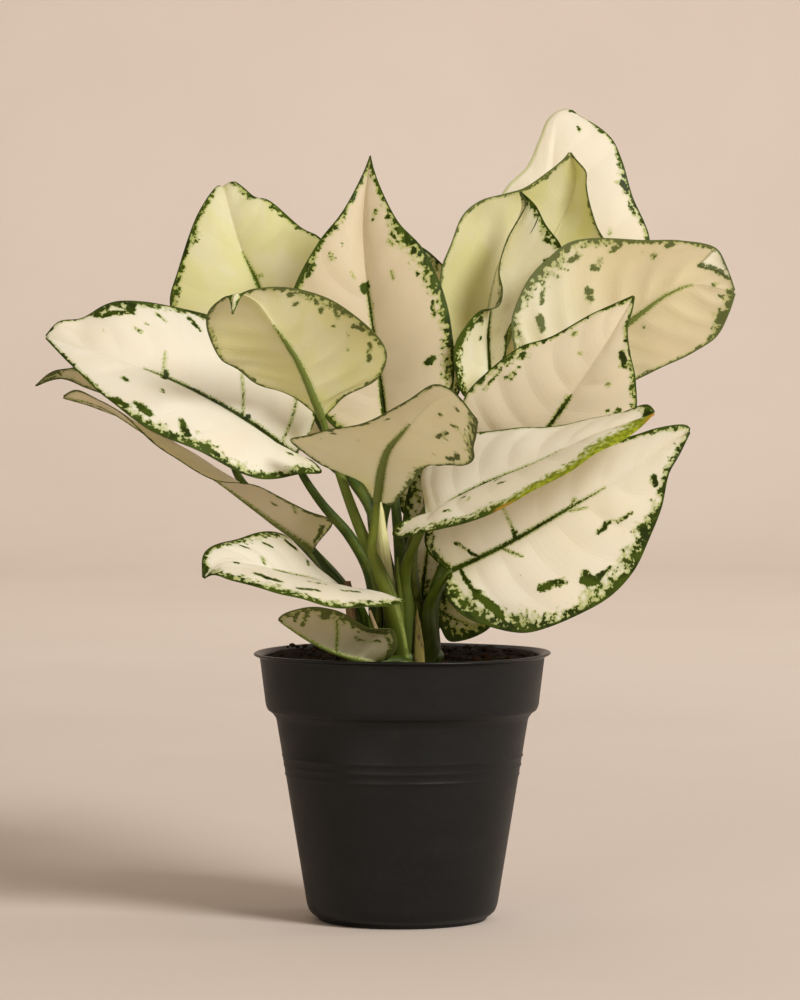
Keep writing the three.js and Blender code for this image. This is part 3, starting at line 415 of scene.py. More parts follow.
        "rib": [(0, 1.2), (0.45, 0.9), (0.55, 1), (0.59, 0.6), (0.6, 0)],
        "marks": [(0.42, -0.87, 0.5, -0.9, 0.9), (0.53, -0.93, 0.53, -0.9, 1.1),
            (0.5, -0.76, 0.53, -0.75, 1.2), (0.55, -0.78, 1), (0.58, -0.86, 0.59, -0.88, 2),
            (0.6, -0.8, 0.9), (0.56, -0.86, 0.9), (0.68, -0.94, 0.67, -0.95, 1),
            (0.77, -0.74, 0.76, -0.77, 0.8), (0.73, -0.35, 0.73, -0.36, 0.8),
            (0.82, -0.92, 0.82, -0.93, 0.8), (0.87, -0.95, 0.865, -0.93, 1), (0.79, 0.7, 0.75, 0.75, 1.7),
            (0.745, 0.7, 0.745, 0.82, 1.5), (0.87, 0.98, 0.83, 0.98, 1.1), (0.67, 0.47, 0.665, 0.5, 1.2),
            (0.58, 0.7, 0.58, 0.75, 1.5), (0.575, 0.6, 1), (0.6, 0.97, 0.59, 0.97, 1.3),
            (0.68, 0.88, 0.65, 0.93, 1.2), (0.46, 0.12, 0.46, 0.15, 0.8), (0.57, 0, 0.58, -0.05, 0.5)]},
    "right_front": {
        "peach_shade": [(0, 0.1)], "flecks": 0.3, "ripple": 0.75,
        "left": [(0, 0.7), (0.8, 0.7), (0.93, 2), (1, 3)],
        "right": [(0, 2.6), (0.3, 3.6), (0.5, 3.4), (0.6, 3.2), (0.8, 4), (1, 4)],
        "gold": [(0, 0), (0.46, 0), (0.56, 1), (0.9, 1), (1, 0.4)],
        "marks": [(0.33, 0.3, 0.34, 0.34, 1.1), (0.37, 0.45, 0.37, 0.5, 1.1),
            (0.44, 0.15, 0.46, 0.15, 0.9), (0.47, 0.35, 0.49, 0.38, 0.9), (0.42, -0.95, 0.43, -0.98, 0.9),
            (0.53, -0.97, 0.54, -0.97, 0.8), (0.67, -0.97, 0.68, -0.97, 0.8), (0.3, 0.6, 0.32, 0.65, 1.2),
            (0.96, -0.5, 0.98, 0, 2.4), (0.27, -0.7, 0.28, -0.78, 0.9)]},
    "lower_right": {
        "peach_shade": [(0, 0.05)], "flecks": 0.25, "ripple": 0.7, "arch": 1.8,
        "left": [(0, 6), (0.1, 3), (0.3, 0.9), (0.8, 1), (1, 1.8)],
        "right": [(0, 3.5), (0.1, 4.5), (0.2, 6), (0.3, 5), (0.4, 3.4), (0.5, 4.2), (0.6, 4.8),
            (0.7, 4.6), (0.8, 2.2), (0.9, 1.8), (1, 2.6)],
        "rib": [(0, 1.6), (0.1, 1.2), (0.3, 1), (0.5, 0.8), (0.6, 0.5), (0.71, 0)],
        "marks": [(0.1, 0.1, 0.17, 0.55, 1.4), (0.17, 0.55, 0.24, 0.8, 3), (0.38, 0.6, 0.44, 0.63, 2.8),
            (0.5, 0.72, 0.51, 0.78, 3.8), (0.52, 0.78, 0.58, 0.8, 1.8), (0.505, 0.64, 0.505, 0.67, 1.6),
            (0.61, 0.42, 0.65, 0.4, 1.5), (0.67, 0.5, 0.71, 0.55, 1.2), (0.6, 0.4, 0.6, 0.41, 1.2),
            (0.83, 0.5, 0.82, 0.62, 1.8), (0.71, 0.8, 0.7, 0.9, 3), (0.19, -0.03, 0.17, -0.42, 1.1),
            (0.36, 0, 0.37, -0.1, 2), (0.37, -0.08, 0.38, -0.75, 0.6), (0.04, -0.1, 0.02, -0.6, 2.8),
            (0.58, 0, 0.6, -0.1, 0.8), (0.3, 0.02, 0.36, 0.2, 0.7), (0.57, 0.03, 0.62, 0.1, 0.5)]},
    "lower_left": {
        "peach_shade": [(0, 0)], "flecks": 0.35, "arch": 1.4,
        "left": [(0, 2), (0.15, 2.5), (0.3, 2.5), (0.42, 3.4), (0.55, 2.6), (0.65, 4), (0.75, 3.2),
            (0.85, 2.4), (1, 2.4)],
        "right": [(0, 1), (0.4, 2.6), (0.55, 2.6), (0.7, 2.6), (0.85, 1.8), (0.95, 2.6), (1, 3)],
        "rib": [(0, 0.5), (0.35, 0.4), (0.6, 0.35), (0.64, 0)],
        "marks": [(0.33, -0.6, 0.4, -0.55, 1.4), (0.52, -0.6, 0.6, -0.65, 1.8),
            (0.68, -0.55, 0.76, -0.5, 2.4), (0.83, -0.05, 0.83, -0.08, 1.4),
            (0.43, -0.35, 0.5, -0.3, 0.9), (0.65, 0.3, 0.67, 0.1, 0.7), (0.35, 0.5, 0.38, 0.3, 0.9),
            (0.7, 0.7, 0.68, 0.6, 0.9), (0.58, 0.7, 0.56, 0.6, 1), (0.45, 0.75, 0.42, 0.6, 1.6)]},
    "at_rim": {
        "tint": 0.15, "grey_shade": 0.55, "flecks": 0.3,
        "left": [(0, 3), (0.3, 2.4), (0.5, 2.8), (0.7, 2.4), (1, 2.4)], "right": [(0, 3), (1, 3)],
        "rib": [(0, 1.1), (0.9, 0.4), (1, 0)],
        "marks": [(0.5, -0.05, 0.6, -0.75, 0.8), (0.68, -0.98, 0.68, -0.7, 2.2),
            (0.66, -0.7, 0.72, -0.95, 1.2), (0.8, -0.3, 0.78, -0.8, 1.1), (0.86, -0.4, 0.84, -0.9, 1),
            (0.4, -0.9, 0.55, -0.95, 2.6), (0.28, -0.85, 0.4, -0.9, 2.2), (0.34, -0.5, 0.42, -0.55, 0.9),
            (0.03, -0.7, 0.15, -0.85, 1.4), (0.15, -0.85, 0.26, -0.8, 1.2), (0.26, -0.6, 0.3, -0.5, 0.9)]},
    "small_right": {
        "tint": 0.4, "grey_shade": 0.5, "flecks": 1, "left": [(0, 6), (1, 5)], "right": [(0, 6), (1, 5)]},
    "behind_stalks": {
        "tint": 0.1, "grey_shade": 0.3, "flecks": 0.7, "left": [(0, 4), (1, 3)], "right": [(0, 4), (1, 3)]},
    "back_centre": {"tint": 0.2, "left": [(0, 3), (1, 2.5)], "right": [(0, 3), (1, 2.5)]},
    "back_right": {"tint": 0.05, "flecks": 0.6, "left": [(0, 4), (1, 3)], "right": [(0, 4), (1, 3)]},
    "back_left": {"tint": 0.1, "flecks": 0.6, "left": [(0, 3), (1, 2.5)], "right": [(0, 4), (1, 3)]},
}

# Camera: the photo is taken from in front, a little above the leaves' middle, and 1000 pixels high.
CAMERA_DISTANCE, CAMERA_HEIGHT = 1760, 232
PIXEL = 0.4028      # mm on the pot's axis
TILT_DROP = 155.5   # pixels from the level line of sight down to the picture's middle
YAW_PIXELS = 2.25   # the pot's axis is right of the picture's middle by this
FILM, IMAGE_HEIGHT = 36, 1000

# The lamps: place and target in metres, size, power, colour, and the spread in degrees of the last one
LAMPS = {
    "key": ((2.45, -2.66, 2.45), (0, 0, 0.18), 1.6, 176, (1, 1, 1)),
    "fill": ((-1.1, -2.1, 0.5), (0, 0, 0.2), 1.2, 11, (1, 0.92, 0.82)),
    "back": ((1.9, 0.5, 0.8), (0, 0, 0.15), 0.8, 7, (1, 0.96, 0.9)),
    "wall": ((0, 1.8, 2.2), (0.3, 2.9, 0), 2.4, 18.5, (1, 0.98, 0.96), 140),
}
WORLD_COLOUR, WORLD_STRENGTH = (1, 0.84, 0.68), 0.32


# Lines and meshes

def smooth_line(points, shares, steps=40):
    """The points at these shares of the length of a smooth line through points, and its directions."""
    p = np.asarray(points, float)
    p = np.vstack([2 * p[0] - p[1], p, 2 * p[-1] - p[-2]])
    gaps = np.sqrt(np.linalg.norm(np.diff(p, axis=0), axis=1))
    u = np.linspace(0, 1, steps, endpoint=False)[:, None]
    pieces = []
    for i in range(1, len(p) - 2):
        p0, p1, p2, p3 = p[i - 1:i + 3]
        d0, d1, d2 = gaps[i - 1:i + 2]
        m1 = d1 * ((p1 - p0) / d0 - (p2 - p0) / (d0 + d1) + (p2 - p1) / d1)
        m2 = d1 * ((p2 - p1) / d1 - (p3 - p1) / (d1 + d2) + (p3 - p2) / d2)
        cubic = (2 * p1 - 2 * p2 + m1 + m2) * u ** 3 + (3 * p2 - 3 * p1 - 2 * m1 - m2) * u ** 2
        pieces.append(cubic + m1 * u + p1)
    fine = np.vstack([*pieces, p[-2:-1]])
    length = np.concatenate([[0], np.cumsum(np.linalg.norm(np.diff(fine, axis=0), axis=1))])
    shares = np.asarray(shares, float)
    at = np.stack([np.interp(shares * length[-1], length, fine[:, k]) for k in range(3)], -1)
    ahead = np.stack([np.interp(shares * length[-1] + 0.5, length, fine[:, k]) for k in range(3)], -1)
    behind = np.stack([np.interp(shares * length[-1] - 0.5, length, fine[:, k]) for k in range(3)], -1)
    return at, unit(ahead - behind), length[-1]


def unit(vectors):
    return vectors / np.maximum(np.linalg.norm(vectors, axis=-1, keepdims=True), 1e-9)


def profile(pairs, shares):
    """The value at each share, read between the given (share, value) pairs."""
    at, values = zip(*pairs)
    return np.interp(shares, at, values)


def ease(x, low, high):
    """0 below low, 1 above high, and smooth between."""
    x = np.clip((x - low) / (high - low), 0, 1)
    return x * x * (3 - 2 * x)


def waves(x, y, seed, octaves=4):
    """A smooth, uneven height between about -1 and 1, summed from seeded sine waves."""
    draw = np.random.default_rng(seed)
    total = np.zeros(np.broadcast(x, y).shape)
    for octave in range(octaves):
        for _ in range(3):
            angle, phase = draw.uniform(0, 2 * math.pi, 2)
            across = x * math.cos(angle) + y * math.sin(angle)
            total = total + 0.5 ** octave * np.sin(1.9 ** octave * across + phase)
    return total / 3.5


def grid_faces(rows, columns, closed=False, first=0):
    """Quads over a grid of points that is stored row by row. closed joins the last column to the first."""
    faces = []
    for i in range(rows - 1):
        for j in range(columns if closed else columns - 1):
            a = first + i * columns + j
            b = first + i * columns + (j + 1) % columns
            faces.append((a, b, b + columns, a + columns))
    return faces


def capped_faces(rows, columns):
    """Faces round a closed grid of points, with a fan at each end to the two points stored after it."""
    faces = grid_faces(rows, columns, closed=True)
    start, end, last = rows * columns, rows * columns + 1, (rows - 1) * columns
    faces += [(start, (j + 1) % columns, j) for j in range(columns)]
    faces += [(end, last + j, last + (j + 1) % columns) for j in range(columns)]
    return faces


def make_piece(name, points, faces, material, attributes=None):
    """A smooth mesh object from points in millimetres, with named values on its points."""
    mesh = bpy.data.meshes.new(name)
    mesh.from_pydata((np.asarray(points) * MM).tolist(), [], faces)
    for key, values in (attributes or {}).items():
        values = np.asarray(values, np.float32)
        if values.ndim == 2:
            mesh.attributes.new(key, "FLOAT_VECTOR", "POINT").data.foreach_set("vector", values.ravel())
        else:
            mesh.attributes.new(key, "FLOAT", "POINT").data.foreach_set("value", values)
    mesh.shade_smooth()
    mesh.materials.append(material)
    piece = bpy.data.objects.new(name, mesh)
    bpy.context.scene.collection.objects.link(piece)
    return piece


def take_over(piece, nodes):
    """The piece moves with the part and stands for these CAD nodes."""
    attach(piece, "root")
    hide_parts(*nodes)


# Materials

class Material:
    """One material's nodes, with short names for the few kinds that are used here."""

    def __init__(self, name):
        self.material = bpy.data.materials.new(name)
        self.material.use_nodes = True
        self.tree = self.material.node_tree
        self.shader = self.tree.nodes["Principled BSDF"]
        self.output = self.tree.nodes["Material Output"]

    def add(self, kind, inputs=None, **settings):
        node = self.tree.nodes.new("ShaderNode" + kind)
        for key, value in settings.items():
            setattr(node, key, value)
        for key, value in (inputs or {}).items():
            self.feed(node.inputs[key], value)
        return node

    def feed(self, socket, value):
        if isinstance(value, bpy.types.NodeSocket):
            self.tree.links.new(value, socket)
        elif isinstance(value, tuple) and len(value) == 3 and socket.type == "RGBA":
            socket.default_value = (*value, 1)
        else:
            socket.default_value = value

    def value(self, name):
        """A number that is stored on the mesh's points."""
        return self.add("Attribute", attribute_name=name).outputs["Fac"]

    def vector(self, name):
        return self.add("Attribute", attribute_name=name).outputs["Vector"]

    def place(self):
        """Where the point is on the object, in metres."""
        return self.add("TexCoord").outputs["Object"]

    def math(self, operation, a, b=0.0, c=0.0):
        return self.add("Math", {0: a, 1: b, 2: c}, operation=operation).outputs[0]

    def plus(self, a, b):
        return self.math("ADD", a, b)

    def minus(self, a, b):
        return self.math("SUBTRACT", a, b)

    def times(self, a, b):
        return self.math("MULTIPLY", a, b)

    def scaled(self, a, factor, added):
        return self.math("MULTIPLY_ADD", a, factor, added)

    def most(self, first, *others):
        for other in others:
            first = self.math("MAXIMUM", first, other)
        return first

    def mix(self, share, a, b):
        node = self.add("Mix", data_type="RGBA")
        for socket, value in zip((node.inputs[0], node.inputs[6], node.inputs[7]), (share, a, b)):
            self.feed(socket, value)
        return node.outputs[2]

    def step(self, value, low, high):
        """0 below low, 1 above high, and smooth between; falls instead if low is over high."""
        rising = low < high
        ends = {1: min(low, high), 2: max(low, high), 3: 0 if rising else 1, 4: 1 if rising else 0}
        return self.add("MapRange", {0: value, **ends}, interpolation_type="SMOOTHSTEP").outputs[0]

    def noise(self, vector, scale, detail=3, roughness=0.55, stretch=None):
        if stretch:
            vector = self.add("VectorMath", {0: vector, 1: stretch}, operation="MULTIPLY").outputs[0]
        inputs = {"Vector": vector, "Scale": scale, "Detail": detail, "Roughness": roughness}
        return self.add("TexNoise", inputs).outputs["Fac"]

    def bump(self, height, strength, distance):
        inputs = {"Height": height, "Strength": strength, "Distance": distance}
        return self.add("Bump", inputs).outputs["Normal"]

    def finish(self, **inputs):
        for key, value in inputs.items():
            self.feed(self.shader.inputs[key.replace("_", " ")], value)
        return self.material


def linear(red, green, blue):
    """A colour given as it looks on the screen, 0 to 255, as light."""
    def channel(c):
        c /= 255
        return c / 12.92 if c <= 0.04045 else ((c + 0.055) / 1.055) ** 2.4
    return tuple(channel(c) for c in (red, green, blue))


# Colours of the blades: the cream, its tints and greens, its painted shade, and the light that comes
# through
CREAM = linear(247, 243, 232)
CREAM_UNDER = linear(243, 237, 220)
CREAM_CLOUD = linear(242, 224, 196)
CREAM_CORNER = linear(255, 250, 236)
# Painted shade: a darker peach cream for blades, or parts of them, that lie in shade
PEACH_SHADE = linear(218, 201, 173)
# Painted shade: a greyer cream for blades that lie in shade
SHADE_GREY = linear(128, 122, 82)
TINT_UPPER = linear(228, 228, 160)
TINT_UNDER = linear(226, 225, 152)
DEEP_GREEN = linear(46, 58, 4)
MID_GREEN = linear(78, 96, 20)
UNDER_GREEN = linear(82, 96, 34)
RIB_GREEN = linear(112, 134, 40)
HALO_GREEN = linear(178, 190, 62)
GOLD_GREEN = linear(180, 188, 44)
CREASE_GREEN = linear(70, 84, 30)
RUST = linear(226, 160, 58)
LIGHT_THROUGH = linear(244, 240, 210)
TINT_THROUGH = linear(228, 230, 124)
GREEN_THROUGH = linear(44, 60, 4)
TRANSLUCENCE = 0.42    # the share of the light that the sheet lets through
HALO_SHARE = 0.72
MOTTLE, FINE_MOTTLE = 440, 1500    # spots of the noise to a metre
FINE_RIDGES = 5        # between two side veins

# Colours of the stalks and the rolled leaf, with painted shade for the stalks' foot
STALK_DARK = linear(34, 50, 4)
STALK_GREEN = linear(68, 88, 14)
STALK_PALE = linear(140, 150, 54)
STALK_BLOTCH = linear(126, 138, 44)
# Painted shade: a darker green for the stalks' foot, under the leaves
STALK_FOOT_SHADE = linear(36, 44, 12)
SHEATH_EDGE = linear(166, 178, 92)
ROLLED_CREAM = linear(214, 206, 150)
ROLLED_GREEN = linear(160, 162, 84)
ROLLED_FOOT = linear(140, 152, 70)
HUSK_SPOT = linear(70, 48, 24)

# Colours of the pot, the soil and the stage
POT_BLACK = linear(8, 9, 10)
POT_GREY = linear(14, 15, 15)
POT_DUST = linear(34, 32, 29)
SOIL_DARK = linear(12, 9, 6)
SOIL_BROWN = linear(40, 29, 20)
SOIL_FIBRE = linear(74, 54, 36)
BARK = linear(84, 56, 38)
STAGE_PAINT = linear(212, 198, 186)
STAGE_PATCH = linear(209, 195, 182)

LEAF_SHINE, STALK_SHINE, POT_SHINE, SOIL_SHINE, STAGE_SHINE = 0.18, 0.22, 0.28, 0.1, 0.2


def blade_material():
    """A leaf's skin: cream, with mottled green along the margins and the midrib. The green is where a
    sum of a mottled noise and a share for how near the margin, rib or a mark is lies above zero."""
    m = Material("leaf_skin")
    leaf, place = m.vector("leaf"), m.place()
    edge, band, mark, gold, fold, under = map(m.value, ("edge", "band", "mark", "gold", "fold", "under"))
    mottle = m.minus(m.noise(place, MOTTLE, 4, 0.6), 0.5)
    smooth = m.minus(m.noise(place, MOTTLE, 1, 0.5), 0.5)
    fine = m.minus(m.noise(place, FINE_MOTTLE, 2, 0.5), 0.5)
    wide = m.noise(leaf, 0.13, 2, 0.5, stretch=(1, 0.6, 1))
    streaked = m.noise(leaf, 0.5, 3, 0.55, stretch=(1, 0.45, 1))
    cloud = m.noise(leaf, 0.05, 3)

    # Where it is green: margin, marks, rib, stray flecks, and a plain line right along the margin
    ratio = m.math("DIVIDE", edge, m.most(band, 0.6))
    near_margin = m.minus(m.scaled(ratio, -0.14, m.scaled(wide, 0.3, -0.03)), m.step(band, 0.9, 0.4))
    near_margin = m.scaled(gold, 0.08, near_margin)
    marks = m.plus(m.scaled(mark, 0.18, 0.03), m.scaled(fine, 0.2, m.times(mottle, 0.75)))
    rib = m.scaled(m.value("rib"), 0.25, m.times(fine, 0.55))
    stray = m.plus(streaked, m.scaled(m.value("flecks"), 0.07, -0.79))
    stray = m.plus(stray, m.times(m.step(edge, 9, 1), 0.04))
    green = m.most(m.plus(mottle, near_margin), marks, rib, stray)
    line_width = m.scaled(m.most(m.minus(band, 1.2), 0), 0.2, 0.8)
    line = m.minus(m.scaled(mottle, 1.6, line_width), edge)
    line = m.times(m.step(line, 0, 0.25), m.step(band, 0.3, 0.8))
    dark = m.most(m.step(green, 0, 0.02), line)

    # A yellow-green halo round it
    around = m.most(m.scaled(smooth, 0.4, near_margin), m.scaled(smooth, 0.3, m.times(mark, 0.17)))
    around = m.most(around, m.times(rib, 0.6))
    halo = m.most(m.step(around, -0.15, 0.01), m.times(m.step(edge, 1.9, 0.7), 0.6), m.times(dark, 0.8))

    # Colours
    tint = m.times(m.value("tint"), m.scaled(m.step(cloud, 0.36, 0.62), 0.62, 0.5))
    # Painted shade: the cream darkens towards peach where a blade lies in shade
    cream = m.mix(m.value("peach_shade"), m.mix(under, CREAM, CREAM_UNDER), PEACH_SHADE)
    cream = m.mix(tint, cream, m.mix(under, TINT_UPPER, TINT_UNDER))
    # Painted shade: the cream turns grey where a blade lies in shade
    cream = m.mix(m.value("grey_shade"), cream, SHADE_GREY)
    cream = m.mix(m.times(m.step(cloud, 0.35, 0.75), 0.3), cream, CREAM_CLOUD)
    cream = m.mix(m.step(fold, 0, 0.3), cream, CREAM_CORNER)
    deep = m.mix(m.step(wide, 0.4, 0.62), DEEP_GREEN, MID_GREEN)
    deep = m.mix(m.step(green, 0.09, 0), deep, MID_GREEN)
    deep = m.mix(m.times(under, 0.6), deep, UNDER_GREEN)
    soft_rib = m.times(m.step(rib, -0.01, 0.03), m.most(under, tint))
    deep = m.mix(m.times(soft_rib, 0.85), deep, RIB_GREEN)
    golden = m.times(gold, m.scaled(m.step(mottle, 0.06, -0.02), 0.6, 0.4))
    deep = m.mix(golden, deep, GOLD_GREEN)
    faded = m.minus(1, m.times(under, 0.22))
    colour = m.mix(m.times(halo, m.times(faded, HALO_SHARE)), cream, HALO_GREEN)
    colour = m.mix(m.times(dark, faded), colour, deep)
    rust = m.times(m.times(m.step(gold, 0, 0.3), m.step(gold, 0.85, 0.5)), m.step(edge, 2.2, 0.6))
    colour = m.mix(m.times(rust, 0.7), colour, RUST)
    crease = m.times(m.step(m.math("ABSOLUTE", fold), 0.5, 0.2), 0.5)
    colour = m.mix(crease, colour, CREASE_GREEN)

    # A furrow on each side vein, and finer ridges between
    vein = m.value("vein")
    off_vein = m.math("ABSOLUTE", m.minus(m.math("FRACT", m.plus(vein, 0.5)), 0.5))
    furrow = m.times(m.step(off_vein, 0.035, 0), -0.5)
    ridges = m.math("SINE", m.times(vein, 2 * math.pi * FINE_RIDGES))
    height = m.plus(furrow, m.scaled(ridges, 0.07, m.times(fine, 0.9)))
    normal = m.bump(height, 0.22, 0.0004)
    rough = m.scaled(streaked, 0.16, 0.36)
    m.finish(Base_Color=colour, Roughness=rough, Normal=normal, Specular_IOR_Level=LEAF_SHINE)

    through = m.mix(m.times(halo, 0.8), m.mix(tint, LIGHT_THROUGH, TINT_THROUGH), HALO_GREEN)
    through = m.mix(dark, through, m.mix(gold, GREEN_THROUGH, GOLD_GREEN))
    translucent = m.add("BsdfTranslucent", {"Color": through, "Normal": normal})
    both = m.add("MixShader", {0: TRANSLUCENCE, 1: m.shader.outputs[0], 2: translucent.outputs[0]})
    m.feed(m.output.inputs["Surface"], both.outputs[0])
    return m.material


def stalk_material():
    """A smooth green stalk, streaked lengthwise, with pale thin sheath edges and painted shade at its
    foot.
    """
    m = Material("stalk_skin")
    way = m.vector("way")
    streak = m.noise(way, 1, 4, 0.6, stretch=(0.02, 2.2, 1))
    blotch = m.noise(way, 0.12, 3)
    green = m.mix(m.step(streak, 0.3, 0.7), STALK_DARK, STALK_GREEN)
    green = m.mix(m.value("tone"), green, STALK_PALE)
    green = m.mix(m.times(m.step(blotch, 0.45, 0.75), 0.35), green, STALK_BLOTCH)
    # Painted shade: darker towards the foot, under the leaves
    green = m.mix(m.times(m.value("low"), 0.6), green, STALK_FOOT_SHADE)
    pale = m.times(m.value("pale"), m.step(m.noise(way, 0.3), 0.25, 0.6))
    colour = m.mix(m.times(pale, 0.6), green, SHEATH_EDGE)
    rough, normal = m.scaled(blotch, 0.2, 0.3), m.bump(streak, 0.3, 0.0005)
    return m.finish(Base_Color=colour, Roughness=rough, Normal=normal, Specular_IOR_Level=STALK_SHINE)


def young_material():
    m = Material("young_leaf_skin")
    way = m.vector("way")
    streak = m.noise(way, 0.9, 4, 0.6, stretch=(0.05, 2.5, 1))
    colour = m.mix(m.step(streak, 0.35, 0.7), ROLLED_CREAM, ROLLED_GREEN)
    colour = m.mix(m.times(m.value("low"), 0.7), colour, ROLLED_FOOT)
    rough, normal = m.scaled(streak, 0.15, 0.35), m.bump(streak, 0.25, 0.0004)
    return m.finish(Base_Color=colour, Roughness=rough, Normal=normal)


def dry_material(name, pale, dark):
    """Dead, fibrous leaf base."""
    m = Material(name)
    way = m.vector("way")
    fibre = m.noise(way, 1.2, 5, 0.65, stretch=(0.06, 2.5, 1))
    colour = m.mix(m.step(fibre, 0.3, 0.7), dark, pale)
    colour = m.mix(m.step(m.noise(way, 0.25, 3), 0.55, 0.75), colour, HUSK_SPOT)
    return m.finish(Base_Color=colour, Roughness=0.75, Normal=m.bump(fibre, 0.6, 0.0006))


def pot_material():
    """Black moulded plastic: matte, faintly streaked and dusty, and smoother on the lip."""
    m = Material("pot_plastic")
    place = m.place()
    grain = m.noise(place, 900, 3, 0.6)
    smear = m.noise(place, 28, 4, 0.6, stretch=(1, 1, 3.5))
    dust = m.times(m.step(m.noise(place, 60, 5, 0.7), 0.55, 0.8), 0.35)
    colour = m.mix(dust, m.mix(m.step(smear, 0.3, 0.8), POT_BLACK, POT_GREY), POT_DUST)
    lip = m.step(m.add("SeparateXYZ", {0: place}).outputs["Z"], 0.1058, 0.1066)
    rough = m.minus(m.scaled(smear, 0.18, 0.4), m.times(lip, 0.16))
    normal = m.bump(m.plus(grain, m.times(smear, 0.6)), 0.25, 0.0003)
    return m.finish(Base_Color=colour, Roughness=rough, Normal=normal, Specular_IOR_Level=POT_SHINE)


def soil_material():
    """Dark, crumbly potting soil with reddish bark."""
    m = Material("potting_soil")
    place = m.place()
    crumb = m.noise(place, 260, 6, 0.7)
    fibre = m.noise(place, 120, 4, 0.6, stretch=(1, 3, 1))
    colour = m.mix(m.step(crumb, 0.3, 0.7), SOIL_DARK, SOIL_BROWN)
    colour = m.mix(m.times(m.step(fibre, 0.6, 0.75), 0.5), colour, SOIL_FIBRE)
    colour = m.mix(m.times(m.value("bark"), m.step(crumb, 0.25, 0.75)), colour, BARK)
    normal = m.bump(crumb, 0.8, 0.0015)
    return m.finish(Base_Color=colour, Roughness=0.9, Normal=normal, Specular_IOR_Level=SOIL_SHINE)


def stage_material():
    """A plain painted surface, very faintly uneven."""
    m = Material("backdrop_paint")
    place = m.place()
    colour = m.mix(m.step(m.noise(place, 3, 4), 0.3, 0.7), STAGE_PAINT, STAGE_PATCH)
    normal = m.bump(m.noise(place, 420, 2, 0.5), 0.06, 0.001)
    return m.finish(Base_Color=colour, Roughness=0.9, Normal=normal, Specular_IOR_Level=STAGE_SHINE)


# Leaf blades

def blade_sheet(lines):
    """A blade's middle surface without thickness, and where each of its points lies on it: out is how far
    from the rib to the margin, vein_start the share of the length where its side vein leaves the rib, and
    from_rib and edge the distances in mm from the rib and from the margin."""
    shares = np.linspace(0, BLADE_END, BLADE_ROWS)
    rib, rib_ahead, length = smooth_line(lines["rib"], shares ** RIB_LAG)
    left, left_ahead, _ = smooth_line([*lines["left"], lines["rib"][-1]], shares)
    right, right_ahead, _ = smooth_line([*lines["right"], lines["rib"][-1]], shares)
    sides = np.array([-c for c in reversed(BLADE_COLUMNS)] + [0, *BLADE_COLUMNS])
    rows, columns = shares[:, None], sides[None, :]
    on_left = columns < 0
    margin = np.where(on_left[..., None], left[:, None], right[:, None])
    margin_ahead = np.where(on_left[..., None], left_ahead[:, None], right_ahead[:, None])
    across = margin - rib[:, None]
    base = (0.25 + 0.75 * ease(shares, -0.005, 0.03))[:, None, None]
    points = rib[:, None] + across * np.abs(columns)[..., None] * base
    width = np.linalg.norm(across, axis=-1)
    slant = np.linalg.norm(np.cross(unit(across), margin_ahead), axis=-1)
    lean = np.linalg.norm(np.cross(unit(across), rib_ahead[:, None]), axis=-1)
    out = np.abs(columns) + 0 * rows
    return SimpleNamespace(
        points=points, shares=shares, sides=sides, rows=rows, columns=columns, on_left=on_left, out=out,
        width=width, length=length, vein_start=rows - VEIN_SWEEP * out ** 2,
        from_rib=out * width * np.maximum(lean, 0.4), edge=(1 - out) * width * np.maximum(slant, 0.4))


def sheet_normals(points, rounds=3):
    """Which way the upper face looks at each point, evened out over its neighbours."""
    a, b, c, d = points[:-1, :-1], points[:-1, 1:], points[1:, 1:], points[1:, :-1]
    faces = np.cross(c - a, d - b)
    normals = np.zeros_like(points)
    for part in (np.s_[:-1, :-1], np.s_[:-1, 1:], np.s_[1:, 1:], np.s_[1:, :-1]):
        normals[part] += faces
    normals = unit(normals)
    for _ in range(rounds):
        for axis in (0, 1):
            ahead = np.concatenate([normals.take(range(1, normals.shape[axis]), axis),
                                    normals.take([-1], axis)], axis)
            behind = np.concatenate([normals.take([0], axis),
                                     normals.take(range(normals.shape[axis] - 1), axis)], axis)
            normals = unit(normals + 0.5 * (ahead + behind))
    return normals


def blade_relief(look, sheet, vein, seed):
    """How far each point of a blade stands off its sheet, in mm: swells between the side veins, the bow of
    each half, the waved margin, the groove over the rib, and uneven lumps."""
    rows, columns, out, width = sheet.rows, sheet.columns, sheet.out, sheet.width
    phases = np.random.default_rng(SEED + seed).uniform(0, 2 * math.pi, 4)
    swell = np.abs(np.sin(math.pi * vein)) ** 0.75 - 0.6
    swell = swell * (0.8 + 0.6 * waves(1.5 * vein, 2 * columns, SWELL_SEED + seed, 2))
    swell = look["ripple"] * swell * ease(out, 0.02, 0.22) * (1 - ease(out, 0.82, 1))
    swell = swell * np.minimum(width / 25, 1)
    bow = look["arch"] * 4 * out * (1 - out) * np.minimum(width / 30, 1)
    wave = np.where(sheet.on_left, np.sin(17 * rows + phases[0]) + 0.6 * np.sin(31 * rows + phases[1]),
                    np.sin(15 * rows + phases[2]) + 0.6 * np.sin(29 * rows + phases[3]))
    wave = MARGIN_WAVE * wave * out ** 3 * np.minimum(width / 25, 1)
    groove = 0.6 * np.exp(-(sheet.from_rib / 1.1) ** 2) * (1 - rows)
    along = sheet.vein_start * sheet.length
    lumps = 0.2 * waves(along / 5, columns * width / 9, SEED + seed)
    large = waves(along / 22, columns * width / 14, LUMP_SEED + seed, 2)
    return swell + bow + wave - groove + (lumps + 0.7 * large * ease(out, 0, 0.3))


def spot(sheet, share, side):
    """Where a share of the length and a place across it lie, in mm on the flat blade."""
    at = np.interp(share, sheet.shares, np.arange(len(sheet.shares)))
    reach = np.interp(side, sheet.sides, np.arange(len(sheet.sides)))
    return np.array([share * sheet.length, side * sheet.width[int(at), int(round(reach))]])


